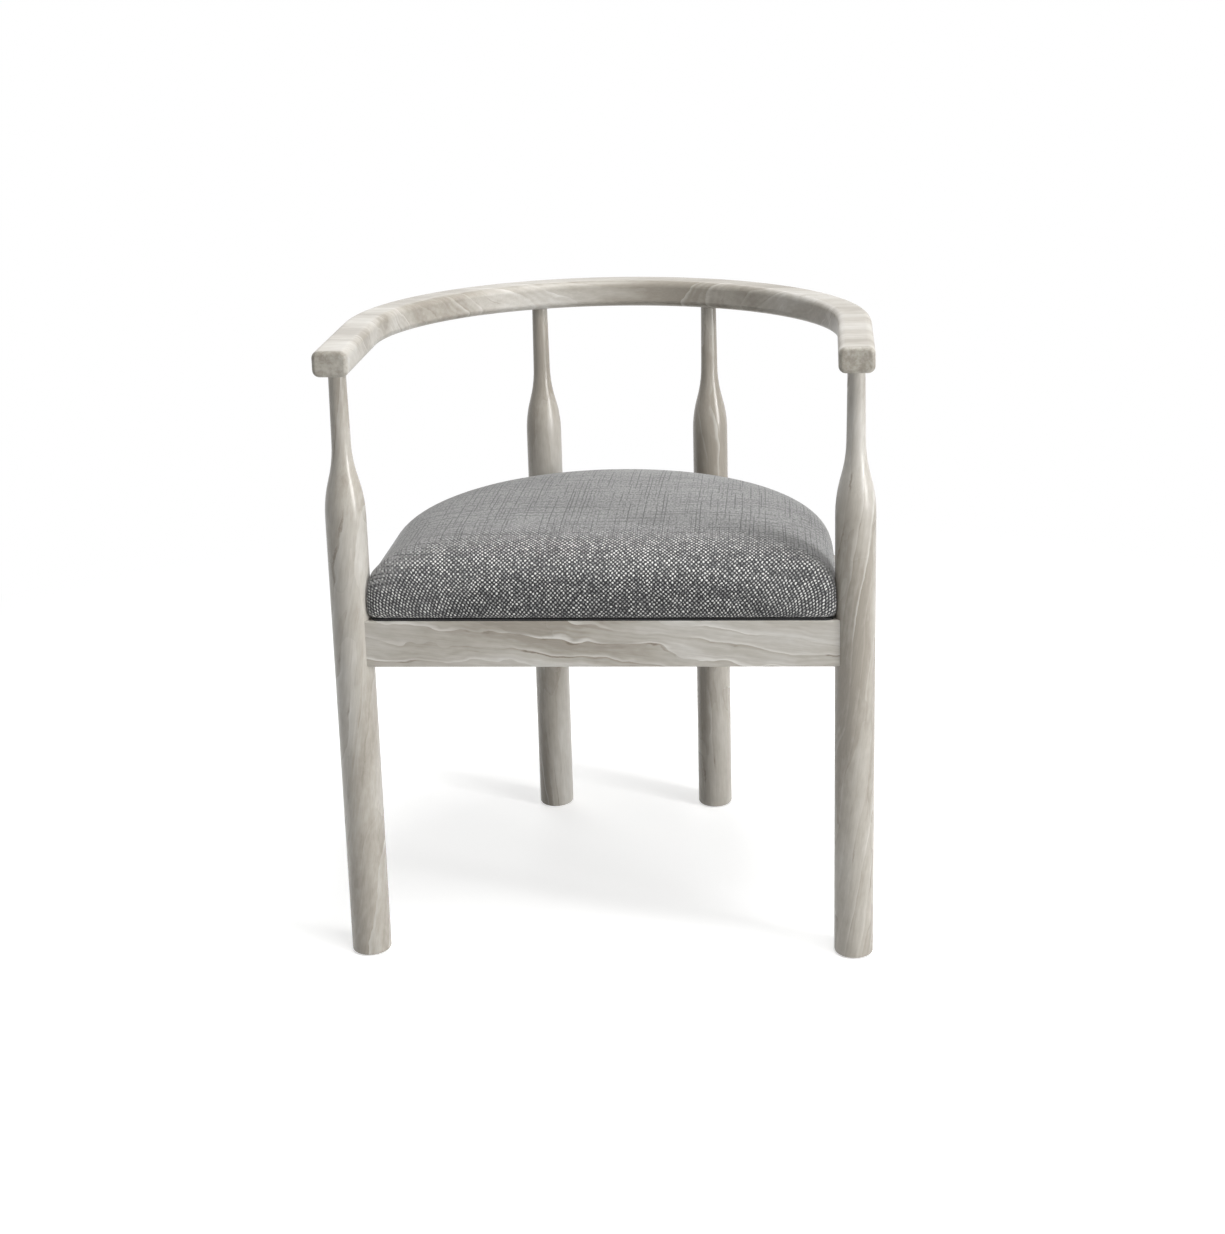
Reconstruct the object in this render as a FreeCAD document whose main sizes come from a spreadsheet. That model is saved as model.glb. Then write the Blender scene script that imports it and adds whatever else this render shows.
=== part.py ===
import FreeCAD, Part
import math
import os

import Sketcher

# Horseshoe back armchair: four turned posts, a horseshoe rail in three segments,
# a seat frame tenoned to the posts and a crowned slip seat screwed to its corner blocks.
# Frame: +Z up, front towards -Y, origin on the floor under the middle of the chair.

os.makedirs("parts", exist_ok=True)
doc = FreeCAD.newDocument("HorseshoeArmchair")

# Driving sizes, in millimetres and degrees
SIZES = {
    "Posts": {
        "leg_diameter": 45.7,
        "neck_diameter": 21.5,
        "neck_top_diameter": 19.7,
        "taper_low": 532.4,
        "taper_high": 618.4,
        "foot_round": 3.0,
        "top_tenon_diameter": 14.0,
        "top_tenon_length": 22.0,
    },
    "Glides": {
        "glide_diameter": 22.0,
        "glide_recess": 3.0,
        "glide_proud": 1.0,
        "glide_pin_diameter": 4.0,
        "glide_pin_length": 12.0,
    },
    "Horseshoe rail": {
        "rail_underside": 697.8,
        "rail_radius": 289.5,
        "arc_behind_posts": 151.8,
        "arm_toe_in": 1.66,
        "arm_overhang": 38.0,
        "rail_width": 39.7,
        "rail_height_tip": 29.5,
        "rail_height_back": 34.5,
        "rail_top_round": 8.5,
        "rail_bottom_round": 8.0,
        "tip_round": 5.0,
        "rear_leg_angle": 22.5,
        "rail_joint_angle": 33.5,
        "dowel_diameter": 8.0,
        "dowel_length": 44.0,
        "dowel_spacing": 16.0,
    },
    "Seat frame": {
        "seat_rail_top": 413.0,
        "seat_rail_height": 55.0,
        "front_rail_thickness": 26.0,
        "front_rail_face": 15.0,
        "curved_rail_thickness": 34.0,
        "curved_rail_setback": 5.5,
        "curved_tenon_setback": 11.5,
        "seat_rail_round": 2.0,
        "tenon_thickness": 10.0,
        "tenon_length": 14.0,
        "tenon_root": 8.0,
        "tenon_shoulder": 8.0,
        "block_height": 25.0,
        "front_block_side": 60.0,
        "rear_block_half_width": 52.0,
        "rear_block_depth": 36.0,
    },
    "Screws": {
        "screw_diameter": 4.0,
        "screw_head_diameter": 8.0,
        "screw_head_height": 2.5,
        "block_screw_length": 26.0,
        "block_screw_cover": 12.0,
        "seat_screw_bite": 9.0,
        "seat_screw_inset": 20.0,
    },
    "Slip seat": {
        "dust_cover_thickness": 2.0,
        "dust_cover_inset": 3.2,
        "cover_thickness": 1.5,
        "cover_return": 30.0,
        "board_thickness": 12.0,
        "board_inset": 12.0,
        "seat_edge_roll": 12.0,
        "seat_edge_inset": 7.0,
        "seat_crown": 74.0,
        "seat_nose": 2.3,
        "seat_corner_radius": 11.0,
        "crown_behind_posts": 185.0,
    },
    "Clearances": {
        "glue_gap": 0.1,
        "bore_end_gap": 0.5,
        "cloth_gap": 0.3,
        "seat_gap": 0.8,
        "cut_spare": 5.0,
    },
}

# Exponent of the rounded crown, and how far along the seat's edge roll and up its rise the
# loft sections stand. Each group is one loft, which starts at the last section of the group below.
CROWN_POWER = 3.8
ROLL_TURN_SHARES = (0.0, 0.35, 0.7, 1.0)
CROWN_RISE_SHARES = ((0.3, 0.55, 0.75, 0.88), (0.95, 0.985, 0.999))

# Where a block's screws stand, as shares of a front block's side and of a rear block's half width
BLOCK_SCREW_SHARE = 0.62
REAR_SCREW_SHARE = 0.72

# Places that follow from the sizes
PLACES = {
    "leg_radius": "Sizes.leg_diameter / 2",
    "neck_radius": "Sizes.neck_diameter / 2",
    "taper_step": "leg_radius - neck_radius",
    "taper_run": "Sizes.taper_high - Sizes.taper_low",
    "taper_arc": "(taper_run ^ 2 + taper_step ^ 2) / (4 * taper_step)",
    "toe": "Sizes.arm_toe_in * 1 deg",
    "rear_turn": "Sizes.rear_leg_angle * 1 deg",
    "depth": "Sizes.arm_overhang + Sizes.arc_behind_posts + Sizes.rail_radius + Sizes.rail_width / 2",
    "front_leg_y": "Sizes.arm_overhang - depth / 2",
    "front_leg_x": "Sizes.rail_radius / cos(toe) - Sizes.arc_behind_posts * tan(toe)",
    "arc_y": "front_leg_y + Sizes.arc_behind_posts",
    "rear_leg_x": "Sizes.rail_radius * sin(rear_turn)",
    "rear_leg_y": "arc_y + Sizes.rail_radius * cos(rear_turn)",
    "seat_rail_low": "Sizes.seat_rail_top - Sizes.seat_rail_height",
    "block_low": "Sizes.seat_rail_top - Sizes.block_height",
    "front_rail_front_y": "front_leg_y - Sizes.front_rail_face",
    "front_rail_back_y": "front_rail_front_y + Sizes.front_rail_thickness",
    "front_rail_back": "Sizes.front_rail_thickness - Sizes.front_rail_face",
    "curved_rail_reach": "Sizes.curved_rail_setback + Sizes.curved_rail_thickness",
    "inner_rail_radius": "Sizes.rail_radius - curved_rail_reach",
    "inner_corner_x": "front_leg_x - curved_rail_reach / cos(toe) + front_rail_back * tan(toe)",
    "seat_half_width": "Sizes.rail_radius - leg_radius - Sizes.seat_gap",
    "seat_front_y": "front_rail_front_y - Sizes.seat_nose",
    "crown_y": "front_leg_y + Sizes.crown_behind_posts",
    "cover_low": "Sizes.seat_rail_top + Sizes.dust_cover_thickness",
    "board_low": "cover_low + Sizes.cover_thickness",
    "seat_wide_z": "cover_low + Sizes.seat_edge_roll",
    "seat_screw_length": "Sizes.block_height + Sizes.dust_cover_thickness + Sizes.cover_thickness"
                         " + Sizes.seat_screw_bite",
    "screw_hole_radius": "Sizes.screw_diameter / 2 + Sizes.glue_gap",
    "head_hole_radius": "Sizes.screw_head_diameter / 2 + Sizes.glue_gap",
    "post_notch_radius": "leg_radius + Sizes.glue_gap",
}


def fill_sheets():
    """Write the driving sizes, and the places that follow from them, to two sheets."""
    sizes = doc.addObject("Spreadsheet::Sheet", "Sizes")
    row = 1
    for heading, values in SIZES.items():
        sizes.set(f"A{row}", heading)
        row += 1
        for alias, number in values.items():
            sizes.set(f"A{row}", alias.replace("_", " "))
            sizes.set(f"B{row}", str(number))
            sizes.setAlias(f"B{row}", alias)
            row += 1
    doc.recompute()
    places = doc.addObject("Spreadsheet::Sheet", "Places")
    for row, (alias, formula) in enumerate(PLACES.items(), start=1):
        places.set(f"A{row}", alias.replace("_", " "))
        places.set(f"B{row}", "=" + formula)
        places.setAlias(f"B{row}", alias)
        doc.recompute()
    return places


sheet = fill_sheets()


def full(text):
    """Expression with each derived place given its sheet's name."""
    words = []
    word = ""
    for letter in text + " ":
        if letter.isalnum() or letter in "_.":
            word += letter
            continue
        words.append("Places." + word if word in PLACES else word)
        words.append(letter)
        word = ""
    return "".join(words).strip()


def read(text):
    """Number that an expression on the sheets gives."""
    result = sheet.evalExpression(full(text))
    return getattr(result, "Value", result)


def bind(thing, prop, text):
    """Tie one property of an object to an expression on the sheets."""
    thing.setExpression(prop, full(text))


def place(thing, x="0", y="0", z="0", turn="0"):
    """Tie an object's place, and its turn about Z in degrees, to expressions."""
    bind(thing, "Placement.Base.x", x)
    bind(thing, "Placement.Base.y", y)
    bind(thing, "Placement.Base.z", z)
    if turn != "0":
        bind(thing, "Placement.Rotation.Angle", turn)
    return thing


def origin_plane(body, role):
    """One of the body's own origin planes."""
    return next(item for item in body.Origin.OriginFeatures if item.Role == role)


def new_sketch(body, name, role="XY_Plane", level="0"):
    """Sketch on the body's own plane, raised to a level."""
    sketch = body.newObject("Sketcher::SketchObject", body.Name + "_" + name)
    sketch.AttachmentSupport = [(origin_plane(body, role), "")]
    sketch.MapMode = "FlatFace"
    if level != "0":
        bind(sketch, "AttachmentOffset.Base.z", level)
    return sketch


def pin(sketch, segment, point, axis, text):
    """Hold one coordinate of a sketch point at an expression."""
    if text == "0":
        line = -2 if axis == "X" else -1
        sketch.addConstraint(Sketcher.Constraint("PointOnObject", segment, point, line))
        return
    constraint = Sketcher.Constraint("Distance" + axis, -1, 1, segment, point, read(text))
    number = sketch.addConstraint(constraint)
    bind(sketch, f"Constraints[{number}]", text)


def arc_between(start, end, radius, side):
    """Minor arc whose centre lies left (1) or right (-1) of the way from start to end."""
    chord = end - start
    half = chord.Length / 2
    rise = math.sqrt(max(radius * radius - half * half, 0.0))
    left = FreeCAD.Vector(-chord.y, chord.x, 0).normalize()
    centre = (start + end) / 2 + left * rise * side
    first, last = (start, end) if side > 0 else (end, start)
    low = math.atan2(first.y - centre.y, first.x - centre.x)
    high = math.atan2(last.y - centre.y, last.x - centre.x)
    circle = Part.Circle(centre, FreeCAD.Vector(0, 0, 1), radius)
    return Part.ArcOfCircle(circle, low, high if high > low else high + 2 * math.pi)


def draw(sketch, corners):
    """Closed outline. A corner is (x, y), or (x, y, radius, side) where an arc leads on."""
    points = [FreeCAD.Vector(read(corner[0]), read(corner[1]), 0) for corner in corners]
    starts = []
    ends = []
    for number, corner in enumerate(corners):
        here = points[number]
        following = points[(number + 1) % len(points)]
        if len(corner) == 2:
            sketch.addGeometry(Part.LineSegment(here, following), False)
            side = 1
        else:
            side = corner[3]
            sketch.addGeometry(arc_between(here, following, read(corner[2]), side), False)
        starts.append(1 if side > 0 else 2)
        ends.append(2 if side > 0 else 1)
    for number, corner in enumerate(corners):
        before = number - 1 if number else len(corners) - 1
        meeting = Sketcher.Constraint("Coincident", before, ends[before], number, starts[number])
        sketch.addConstraint(meeting)
        pin(sketch, number, starts[number], "X", corner[0])
        pin(sketch, number, starts[number], "Y", corner[1])
        if len(corner) > 2:
            index = sketch.addConstraint(Sketcher.Constraint("Radius", number, read(corner[2])))
            bind(sketch, f"Constraints[{index}]", corner[2])
    return sketch


def new_body(name):
    """Body with a name of its own."""
    body = doc.addObject("PartDesign::Body", name)
    body.Label = name
    return body


def pad(body, sketch, height):
    """Raise a sketch by a height."""
    feature = body.newObject("PartDesign::Pad", sketch.Name + "_pad")
    feature.Profile = sketch
    bind(feature, "Length", height)
    sketch.Visibility = False
    doc.recompute()
    return feature


def plate(name, corners, low, height):
    """Body of one outline raised from a level."""
    body = new_body(name)
    sketch = draw(new_sketch(body, "plan", level=low), corners)
    pad(body, sketch, height)
    return body


def turned(name, corners):
    """Body turned about its own Z axis from a half profile."""
    body = new_body(name)
    sketch = draw(new_sketch(body, "profile", "XZ_Plane"), corners)
    feature = body.newObject("PartDesign::Revolution", name + "_turning")
    feature.Profile = sketch
    feature.ReferenceAxis = (sketch, ["V_Axis"])
    feature.Angle = 360.0
    doc.recompute()
    return body


def round_edges(body, radius, wanted, name):
    """Fillet the edges of the body's last solid that pass a test."""
    solid = body.Tip.Shape
    edges = [f"Edge{number}" for number, edge in enumerate(solid.Edges, start=1) if wanted(edge)]
    feature = body.newObject("PartDesign::Fillet", body.Name + "_" + name)
    feature.Base = (body.Tip if body.Tip is not feature else feature.BaseFeature, edges)
    bind(feature, "Radius", radius)
    doc.recompute()
    return feature


def box(name, length, width, height):
    """Box whose three sizes are tied to expressions."""
    thing = doc.addObject("Part::Box", name)
    bind(thing, "Length", length)
    bind(thing, "Width", width)
    bind(thing, "Height", height)
    return thing


def rod(name, radius, length, x, y, z, direction=None):
    """Cylinder from a point, upright or along a level direction."""
    thing = doc.addObject("Part::Cylinder", name)
    bind(thing, "Radius", radius)
    bind(thing, "Height", length)
    if direction is not None:
        turn = FreeCAD.Rotation(FreeCAD.Vector(0, 0, 1), direction)
        thing.Placement = FreeCAD.Placement(FreeCAD.Vector(), turn)
    return place(thing, x, y, z)


def level_direction(angle):
    """Level direction at an angle, in degrees, from +X."""
    return FreeCAD.Vector(math.cos(math.radians(angle)), math.sin(math.radians(angle)), 0)


def fused(name, things):
    """One solid of several that meet."""
    feature = doc.addObject("Part::MultiFuse", name)
    feature.Shapes = things
    return feature


def cut(name, base, tools):
    """The base less its tools."""
    bundle = tools[0]
    if len(tools) > 1:
        bundle = doc.addObject("Part::Compound", name + "_tools")
        bundle.Links = tools
    feature = doc.addObject("Part::Cut", name)
    feature.Base = base
    feature.Tool = bundle
    return feature


def group(name, things):
    """Separate solids under one name."""
    feature = doc.addObject("Part::Compound", name)
    feature.Links = things
    return feature


# Tenons and mortises: level bars that point away from a post's axis

def tenon(name, x, y, angle, across="0"):
    """Tenon from inside the rail to its end in the post."""
    length = "Sizes.tenon_length + Sizes.tenon_root"
    height = "Sizes.seat_rail_height - 2 * Sizes.tenon_shoulder"
    bar = box(name, length, "Sizes.tenon_thickness", height)
    start = "(leg_radius - Sizes.tenon_length)"
    return lay_bar(bar, x, y, start, f"({across} - Sizes.tenon_thickness / 2)",
                   "Sizes.tenon_shoulder", angle)


def mortise(name, x, y, angle, across="0"):
    """Pocket for a tenon, wider by the glue gap and deeper by the end gap."""
    length = "Sizes.tenon_length + Sizes.bore_end_gap + Sizes.cut_spare"
    width = "Sizes.tenon_thickness + 2 * Sizes.glue_gap"
    height = "Sizes.seat_rail_height - 2 * Sizes.tenon_shoulder + 2 * Sizes.glue_gap"
    bar = box(name, length, width, height)
    start = "(leg_radius - Sizes.tenon_length - Sizes.bore_end_gap)"
    return lay_bar(bar, x, y, start, f"({across} - Sizes.tenon_thickness / 2 - Sizes.glue_gap)",
                   "Sizes.tenon_shoulder - Sizes.glue_gap", angle)


def lay_bar(bar, x, y, start, edge, rise, angle):
    """Lay a bar at an angle from a post's axis, its right-hand edge at a distance to the left."""
    turn = f"(({angle}) * 1 deg)"
    return place(bar, f"{x} + {start} * cos({turn}) - {edge} * sin({turn})",
                 f"{y} + {start} * sin({turn}) + {edge} * cos({turn})",
                 f"seat_rail_low + {rise}", turn)


# Each side of the chair: its name and the sign of its X
SIDES = {"left": -1, "right": 1}


def post_places(side, sign):
    """Name, centre and two tenon lines of the front and rear post of a side.

    A tenon line is its direction, and how far left of the post's axis it lies.
    """
    mirror = "180 - " if sign < 0 else ""
    inward = f"{sign} * Sizes.curved_tenon_setback"
    outward = f"{-sign} * Sizes.curved_tenon_setback"
    front = (
        f"front_{side}", f"{sign} * front_leg_x", "front_leg_y",
        ((f"{mirror}180", "0"), (f"{mirror}(90 - Sizes.arm_toe_in)", inward)),
    )
    rear = (
        f"rear_{side}", f"{sign} * rear_leg_x", "rear_leg_y",
        ((f"{mirror}(-Sizes.rear_leg_angle)", outward),
         (f"{mirror}(180 - Sizes.rear_leg_angle)", inward)),
    )
    return front, rear


POSTS = [post for side, sign in SIDES.items() for post in post_places(side, sign)]


def make_leg(name, x, y, tenon_lines):
    """Turned post: glide recess, round foot, shaft, drawn-in neck and top tenon."""
    foot = "Sizes.glide_proud"
    recess = "Sizes.glide_proud + Sizes.glide_recess"
    bore = recess + " + Sizes.glide_pin_length + Sizes.bore_end_gap"
    pin_wall = "Sizes.glide_pin_diameter / 2 + Sizes.glue_gap"
    glide_wall = "Sizes.glide_diameter / 2 + Sizes.glue_gap"
    tenon_top = "Sizes.rail_underside + Sizes.top_tenon_length"
    profile = [
        ("0", bore),
        (pin_wall, bore),
        (pin_wall, recess),
        (glide_wall, recess),
        (glide_wall, foot),
        ("leg_radius - Sizes.foot_round", foot, "Sizes.foot_round", 1),
        ("leg_radius", foot + " + Sizes.foot_round"),
        ("leg_radius", "Sizes.taper_low", "taper_arc", 1),
        ("leg_radius - taper_step / 2", "Sizes.taper_low + taper_run / 2", "taper_arc", -1),
        ("neck_radius", "Sizes.taper_high"),
        ("Sizes.neck_top_diameter / 2", "Sizes.rail_underside"),
        ("Sizes.top_tenon_diameter / 2", "Sizes.rail_underside"),
        ("Sizes.top_tenon_diameter / 2", tenon_top),
        ("0", tenon_top),
    ]
    post = place(turned(name + "_turned_post", profile), x, y)
    slots = [mortise(f"{name}_mortise_{number}", x, y, *line)
             for number, line in enumerate(tenon_lines, start=1)]
    return cut(name + "_leg", post, slots)


def make_glide(name, x, y):
    """Round glide with a pin, standing a little proud of the foot."""
    top = "Sizes.glide_proud + Sizes.glide_recess"
    pin_radius = "Sizes.glide_pin_diameter / 2"
    profile = [
        ("0", "0"),
        ("Sizes.glide_diameter / 2", "0"),
        ("Sizes.glide_diameter / 2", top),
        (pin_radius, top),
        (pin_radius, top + " + Sizes.glide_pin_length"),
        ("0", top + " + Sizes.glide_pin_length"),
    ]
    return place(turned(name + "_glide", profile), x, y)


# The horseshoe rail: outlines in plan

def polar(radius, angle, sign=1):
    """Plan point on a circle about the horseshoe's centre, angle in degrees from +X."""
    turn = f"(({angle}) * 1 deg)"
    return f"{sign} * ({radius}) * cos({turn})", f"arc_y + ({radius}) * sin({turn})"


def band_plan(sign, outside, inside, reach, end_angle):
    """Straight arm from a reach behind the post's axis, then the arc to an end angle."""
    outer = f"Sizes.rail_radius + {outside}"
    inner = f"Sizes.rail_radius - {inside}"
    middle = f"(front_leg_x + {reach} * tan(toe))"
    start_y = f"front_leg_y + {reach}"
    start = "-Sizes.arm_toe_in"
    return [
        (f"{sign} * ({middle} + {outside} / cos(toe))", start_y),
        (*polar(outer, start, sign), outer, sign),
        polar(outer, end_angle, sign),
        (*polar(inner, end_angle, sign), inner, -sign),
        polar(inner, start, sign),
        (f"{sign} * ({middle} - {inside} / cos(toe))", start_y),
    ]


def back_plan(outside, inside, end_angle):
    """Arc across the back between two end angles, in two halves."""
    outer = f"Sizes.rail_radius + {outside}"
    inner = f"Sizes.rail_radius - {inside}"
    return [
        (*polar(outer, end_angle), outer, 1),
        ("0", f"arc_y + {outer}", outer, 1),
        polar(outer, end_angle, -1),
        (*polar(inner, end_angle, -1), inner, -1),
        ("0", f"arc_y + {inner}", inner, -1),
        polar(inner, end_angle),
    ]


def shape_rail(body):
    """Slope the rail's top down to the arms and round its long edges."""
    sketch = draw(new_sketch(body, "slope", "YZ_Plane"), [
        ("-depth / 2", "Sizes.rail_underside + Sizes.rail_height_tip"),
        ("depth / 2", "Sizes.rail_underside + Sizes.rail_height_back"),
        ("depth / 2", "Sizes.rail_underside + Sizes.rail_height_back + Sizes.cut_spare"),
        ("-depth / 2", "Sizes.rail_underside + Sizes.rail_height_back + Sizes.cut_spare"),
    ])
    before = body.Shape.Volume
    feature = body.newObject("PartDesign::Pocket", sketch.Name + "_cut")
    feature.Profile = sketch
    feature.SideType = "Symmetric"
    bind(feature, "Length", "2 * (Sizes.rail_radius + Sizes.rail_width + Sizes.cut_spare)")
    doc.recompute()
    if body.Shape.Volume >= before:
        raise RuntimeError("the slope cut nothing from " + body.Label)
    long_edge = read("Sizes.rail_width + Sizes.rail_height_back")
    middle = read("Sizes.rail_underside + Sizes.rail_height_tip / 2")

    def low_edge(edge):
        return edge.Length > long_edge and edge.BoundBox.ZMax < middle

    def high_edge(edge):
        return edge.Length > long_edge and edge.BoundBox.ZMin > middle

    round_edges(body, "Sizes.rail_bottom_round", low_edge, "low_round")
    round_edges(body, "Sizes.rail_top_round", high_edge, "high_round")


def post_bore(name, x, y):
    """Blind bore in the rail's underside for a post's top tenon."""
    radius = "Sizes.top_tenon_diameter / 2 + Sizes.glue_gap"
    length = "Sizes.top_tenon_length + Sizes.bore_end_gap + Sizes.cut_spare"
    return rod(name, radius, length, x, y, "Sizes.rail_underside - Sizes.cut_spare")


def joint_rods(name, sign, radius, spare):
    """Two level rods square across a joint of the horseshoe, side by side."""
    angle = read("90 - Sizes.rail_joint_angle")
    direction = level_direction(angle + 90 if sign > 0 else 90 - angle)
    rods = []
    for number, offset in enumerate(("- Sizes.dowel_spacing / 2", "+ Sizes.dowel_spacing / 2"), start=1):
        reach = f"(Sizes.rail_radius {offset})"
        half = f"(Sizes.dowel_length / 2 + {spare})"
        turn = "((90 - Sizes.rail_joint_angle) * 1 deg)"
        x = f"{sign} * ({reach} * cos({turn}) + {half} * sin({turn}))"
        y = f"arc_y + {reach} * sin({turn}) - {half} * cos({turn})"
        rods.append(rod(f"{name}_{number}", radius, f"2 * {half}", x, y,
                        "Sizes.rail_underside + Sizes.rail_height_tip / 2", direction))
    return rods


def joint_bores(name, sign):
    """Bores for the dowels of one joint."""
    return joint_rods(name, sign, "Sizes.dowel_diameter / 2 + Sizes.glue_gap", "Sizes.bore_end_gap")


def make_arm_rail(side, sign):
    """Arm segment of the horseshoe, from its rounded tip to the joint behind."""
    body = new_body(f"{side}_arm_blank")
    half = "Sizes.rail_width / 2"
    plan = band_plan(sign, half, half, "(-Sizes.arm_overhang)", "90 - Sizes.rail_joint_angle")
    pad(body, draw(new_sketch(body, "plan", level="Sizes.rail_underside"), plan),
        "Sizes.rail_height_back")
    shape_rail(body)
    tip = read("-depth / 2 + Sizes.glue_gap")
    round_edges(body, "Sizes.tip_round", lambda edge: edge.BoundBox.YMax < tip, "tip_round")
    bores = [post_bore(f"{side}_arm_post_bore", f"{sign} * front_leg_x", "front_leg_y")]
    bores += joint_bores(f"{side}_arm_joint_bore", sign)
    return cut(f"{side}_arm_rail", body, bores)


def make_back_rail():
    """Back segment of the horseshoe, over the two rear posts."""
    body = new_body("back_blank")
    half = "Sizes.rail_width / 2"
    plan = back_plan(half, half, "90 - Sizes.rail_joint_angle")
    pad(body, draw(new_sketch(body, "plan", level="Sizes.rail_underside"), plan),
        "Sizes.rail_height_back")
    shape_rail(body)
    bores = []
    for side, sign in SIDES.items():
        bores.append(post_bore(f"back_{side}_post_bore", f"{sign} * rear_leg_x", "rear_leg_y"))
        bores += joint_bores(f"back_{side}_joint_bore", sign)
    return cut("back_rail", body, bores)


def make_dowels():
    """Two dowels in each of the two joints."""
    dowels = []
    for side, sign in SIDES.items():
        dowels += joint_rods(f"{side}_dowel", sign, "Sizes.dowel_diameter / 2", "0")
    return group("rail_joint_dowels", dowels)


# The seat frame

def post_notch(name, x, y, radius="post_notch_radius"):
    """Upright cylinder that clears a post over the height of the seat."""
    low = "seat_rail_low - Sizes.cut_spare"
    height = "Sizes.seat_rail_height + Sizes.dust_cover_thickness + Sizes.seat_edge_roll + Sizes.seat_crown"
    return rod(name, radius, height + " + 2 * Sizes.cut_spare", x, y, low)


def screw_bore(name, x, y, z, angle, length, radius="screw_hole_radius"):
    """Level bore along an angle in degrees."""
    return rod(name, radius, length, x, y, z, level_direction(read(angle)))


# The blocks' screws: their level, and how far a front block's screws stand from its corner
BLOCK_SCREW_Z = "block_low + Sizes.block_height / 2"
FRONT_SCREW_REACH = f"{BLOCK_SCREW_SHARE} * Sizes.front_block_side"


def front_screws(sign):
    """Start, in plan, and angle of the two screws of a front block, from the head's face."""
    cover = "Sizes.block_screw_cover"
    into_front = (
        f"{sign} * (inner_corner_x - {FRONT_SCREW_REACH})",
        f"front_rail_back_y + {cover}",
        "-90",
    )
    side_x = f"(inner_corner_x + {FRONT_SCREW_REACH} * tan(toe))"
    into_side = (
        f"{sign} * ({side_x} - {cover})",
        f"front_rail_back_y + {FRONT_SCREW_REACH}",
        "0" if sign > 0 else "180",
    )
    return into_front, into_side


def rear_screws(sign):
    """Start, in plan, and angle of the two screws of a rear block, from the head's face."""
    angle = "(90 - Sizes.rear_leg_angle)"
    outward = angle if sign > 0 else f"180 - {angle}"
    cosine = f"cos({angle} * 1 deg)"
    sine = f"sin({angle} * 1 deg)"
    across = f"{REAR_SCREW_SHARE} * Sizes.rear_block_half_width"
    out = f"(sqrt(inner_rail_radius ^ 2 - ({across}) ^ 2) - Sizes.block_screw_cover)"
    screws = []
    for hand in (-1, 1):
        x = f"{sign} * ({out} * {cosine} + {hand} * {across} * {sine})"
        y = f"arc_y + {out} * {sine} - {hand} * {across} * {cosine}"
        screws.append((x, y, outward))
    return screws


def rail_bores(name, screws):
    """Bores in a rail for the screws that end in it."""
    depth = "Sizes.block_screw_length + Sizes.bore_end_gap"
    return [screw_bore(f"{name}_screw_bore_{number}", x, y, BLOCK_SCREW_Z, angle, depth)
            for number, (x, y, angle) in enumerate(screws, start=1)]


def make_front_seat_rail():
    """Straight rail between the front posts, with coped shoulders and two tenons."""
    body = plate("front_seat_rail_blank", [
        ("-front_leg_x", "front_rail_front_y"),
        ("front_leg_x", "front_rail_front_y"),
        ("front_leg_x", "front_rail_back_y"),
        ("-front_leg_x", "front_rail_back_y"),
    ], "seat_rail_low", "Sizes.seat_rail_height")
    long_edge = read("front_leg_x")
    front = read("front_rail_front_y + Sizes.seat_rail_round")
    round_edges(body, "Sizes.seat_rail_round",
                lambda edge: edge.Length > long_edge and edge.BoundBox.YMax < front, "front_round")
    notches = []
    tenons = []
    screws = []
    for side, sign in SIDES.items():
        x = f"{sign} * front_leg_x"
        notches.append(post_notch(f"front_seat_rail_{side}_notch", x, "front_leg_y"))
        angle = "180" if sign > 0 else "0"
        tenons.append(tenon(f"front_seat_rail_{side}_tenon", x, "front_leg_y", angle))
        screws.append(front_screws(sign)[0])
    coped = cut("front_seat_rail_coped", body, notches)
    whole = fused("front_seat_rail_tenoned", [coped, *tenons])
    return cut("front_seat_rail", whole, rail_bores("front_seat_rail", screws))


def round_curved_rail(body):
    """Round the long edges of a curved seat rail."""
    long_edge = read("Sizes.curved_rail_thickness + Sizes.glue_gap")
    flat = read("Sizes.glue_gap")
    round_edges(body, "Sizes.seat_rail_round",
                lambda edge: edge.Length > long_edge and edge.BoundBox.ZLength < flat, "long_round")


def make_side_seat_rail(side, sign):
    """Curved rail from the front post to the rear post, under the arm."""
    name = f"{side}_seat_rail"
    front, rear = post_places(side, sign)
    plan = band_plan(sign, "(-Sizes.curved_rail_setback)", "curved_rail_reach",
                     "(front_rail_back + Sizes.glue_gap)", "90 - Sizes.rear_leg_angle")
    body = plate(name + "_blank", plan, "seat_rail_low", "Sizes.seat_rail_height")
    round_curved_rail(body)
    notches = [post_notch(f"{name}_{end}_notch", x, y)
               for end, (_, x, y, _) in (("front", front), ("rear", rear))]
    tenons = [
        tenon(name + "_front_tenon", front[1], front[2], *front[3][1]),
        tenon(name + "_rear_tenon", rear[1], rear[2], *rear[3][0]),
    ]
    coped = cut(name + "_coped", body, notches)
    whole = fused(name + "_tenoned", [coped, *tenons])
    return cut(name, whole, rail_bores(name, [front_screws(sign)[1], rear_screws(sign)[1]]))


def make_rear_seat_rail():
    """Curved rail between the rear posts."""
    name = "rear_seat_rail"
    plan = back_plan("(-Sizes.curved_rail_setback)", "curved_rail_reach", "90 - Sizes.rear_leg_angle")
    body = plate(name + "_blank", plan, "seat_rail_low", "Sizes.seat_rail_height")
    round_curved_rail(body)
    notches = []
    tenons = []
    screws = []
    for side, sign in SIDES.items():
        _, x, y, lines = post_places(side, sign)[1]
        notches.append(post_notch(f"{name}_{side}_notch", x, y))
        tenons.append(tenon(f"{name}_{side}_tenon", x, y, *lines[1]))
        screws.append(rear_screws(sign)[0])
    coped = cut(name + "_coped", body, notches)
    whole = fused(name + "_tenoned", [coped, *tenons])
    return cut(name, whole, rail_bores(name, screws))


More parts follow.
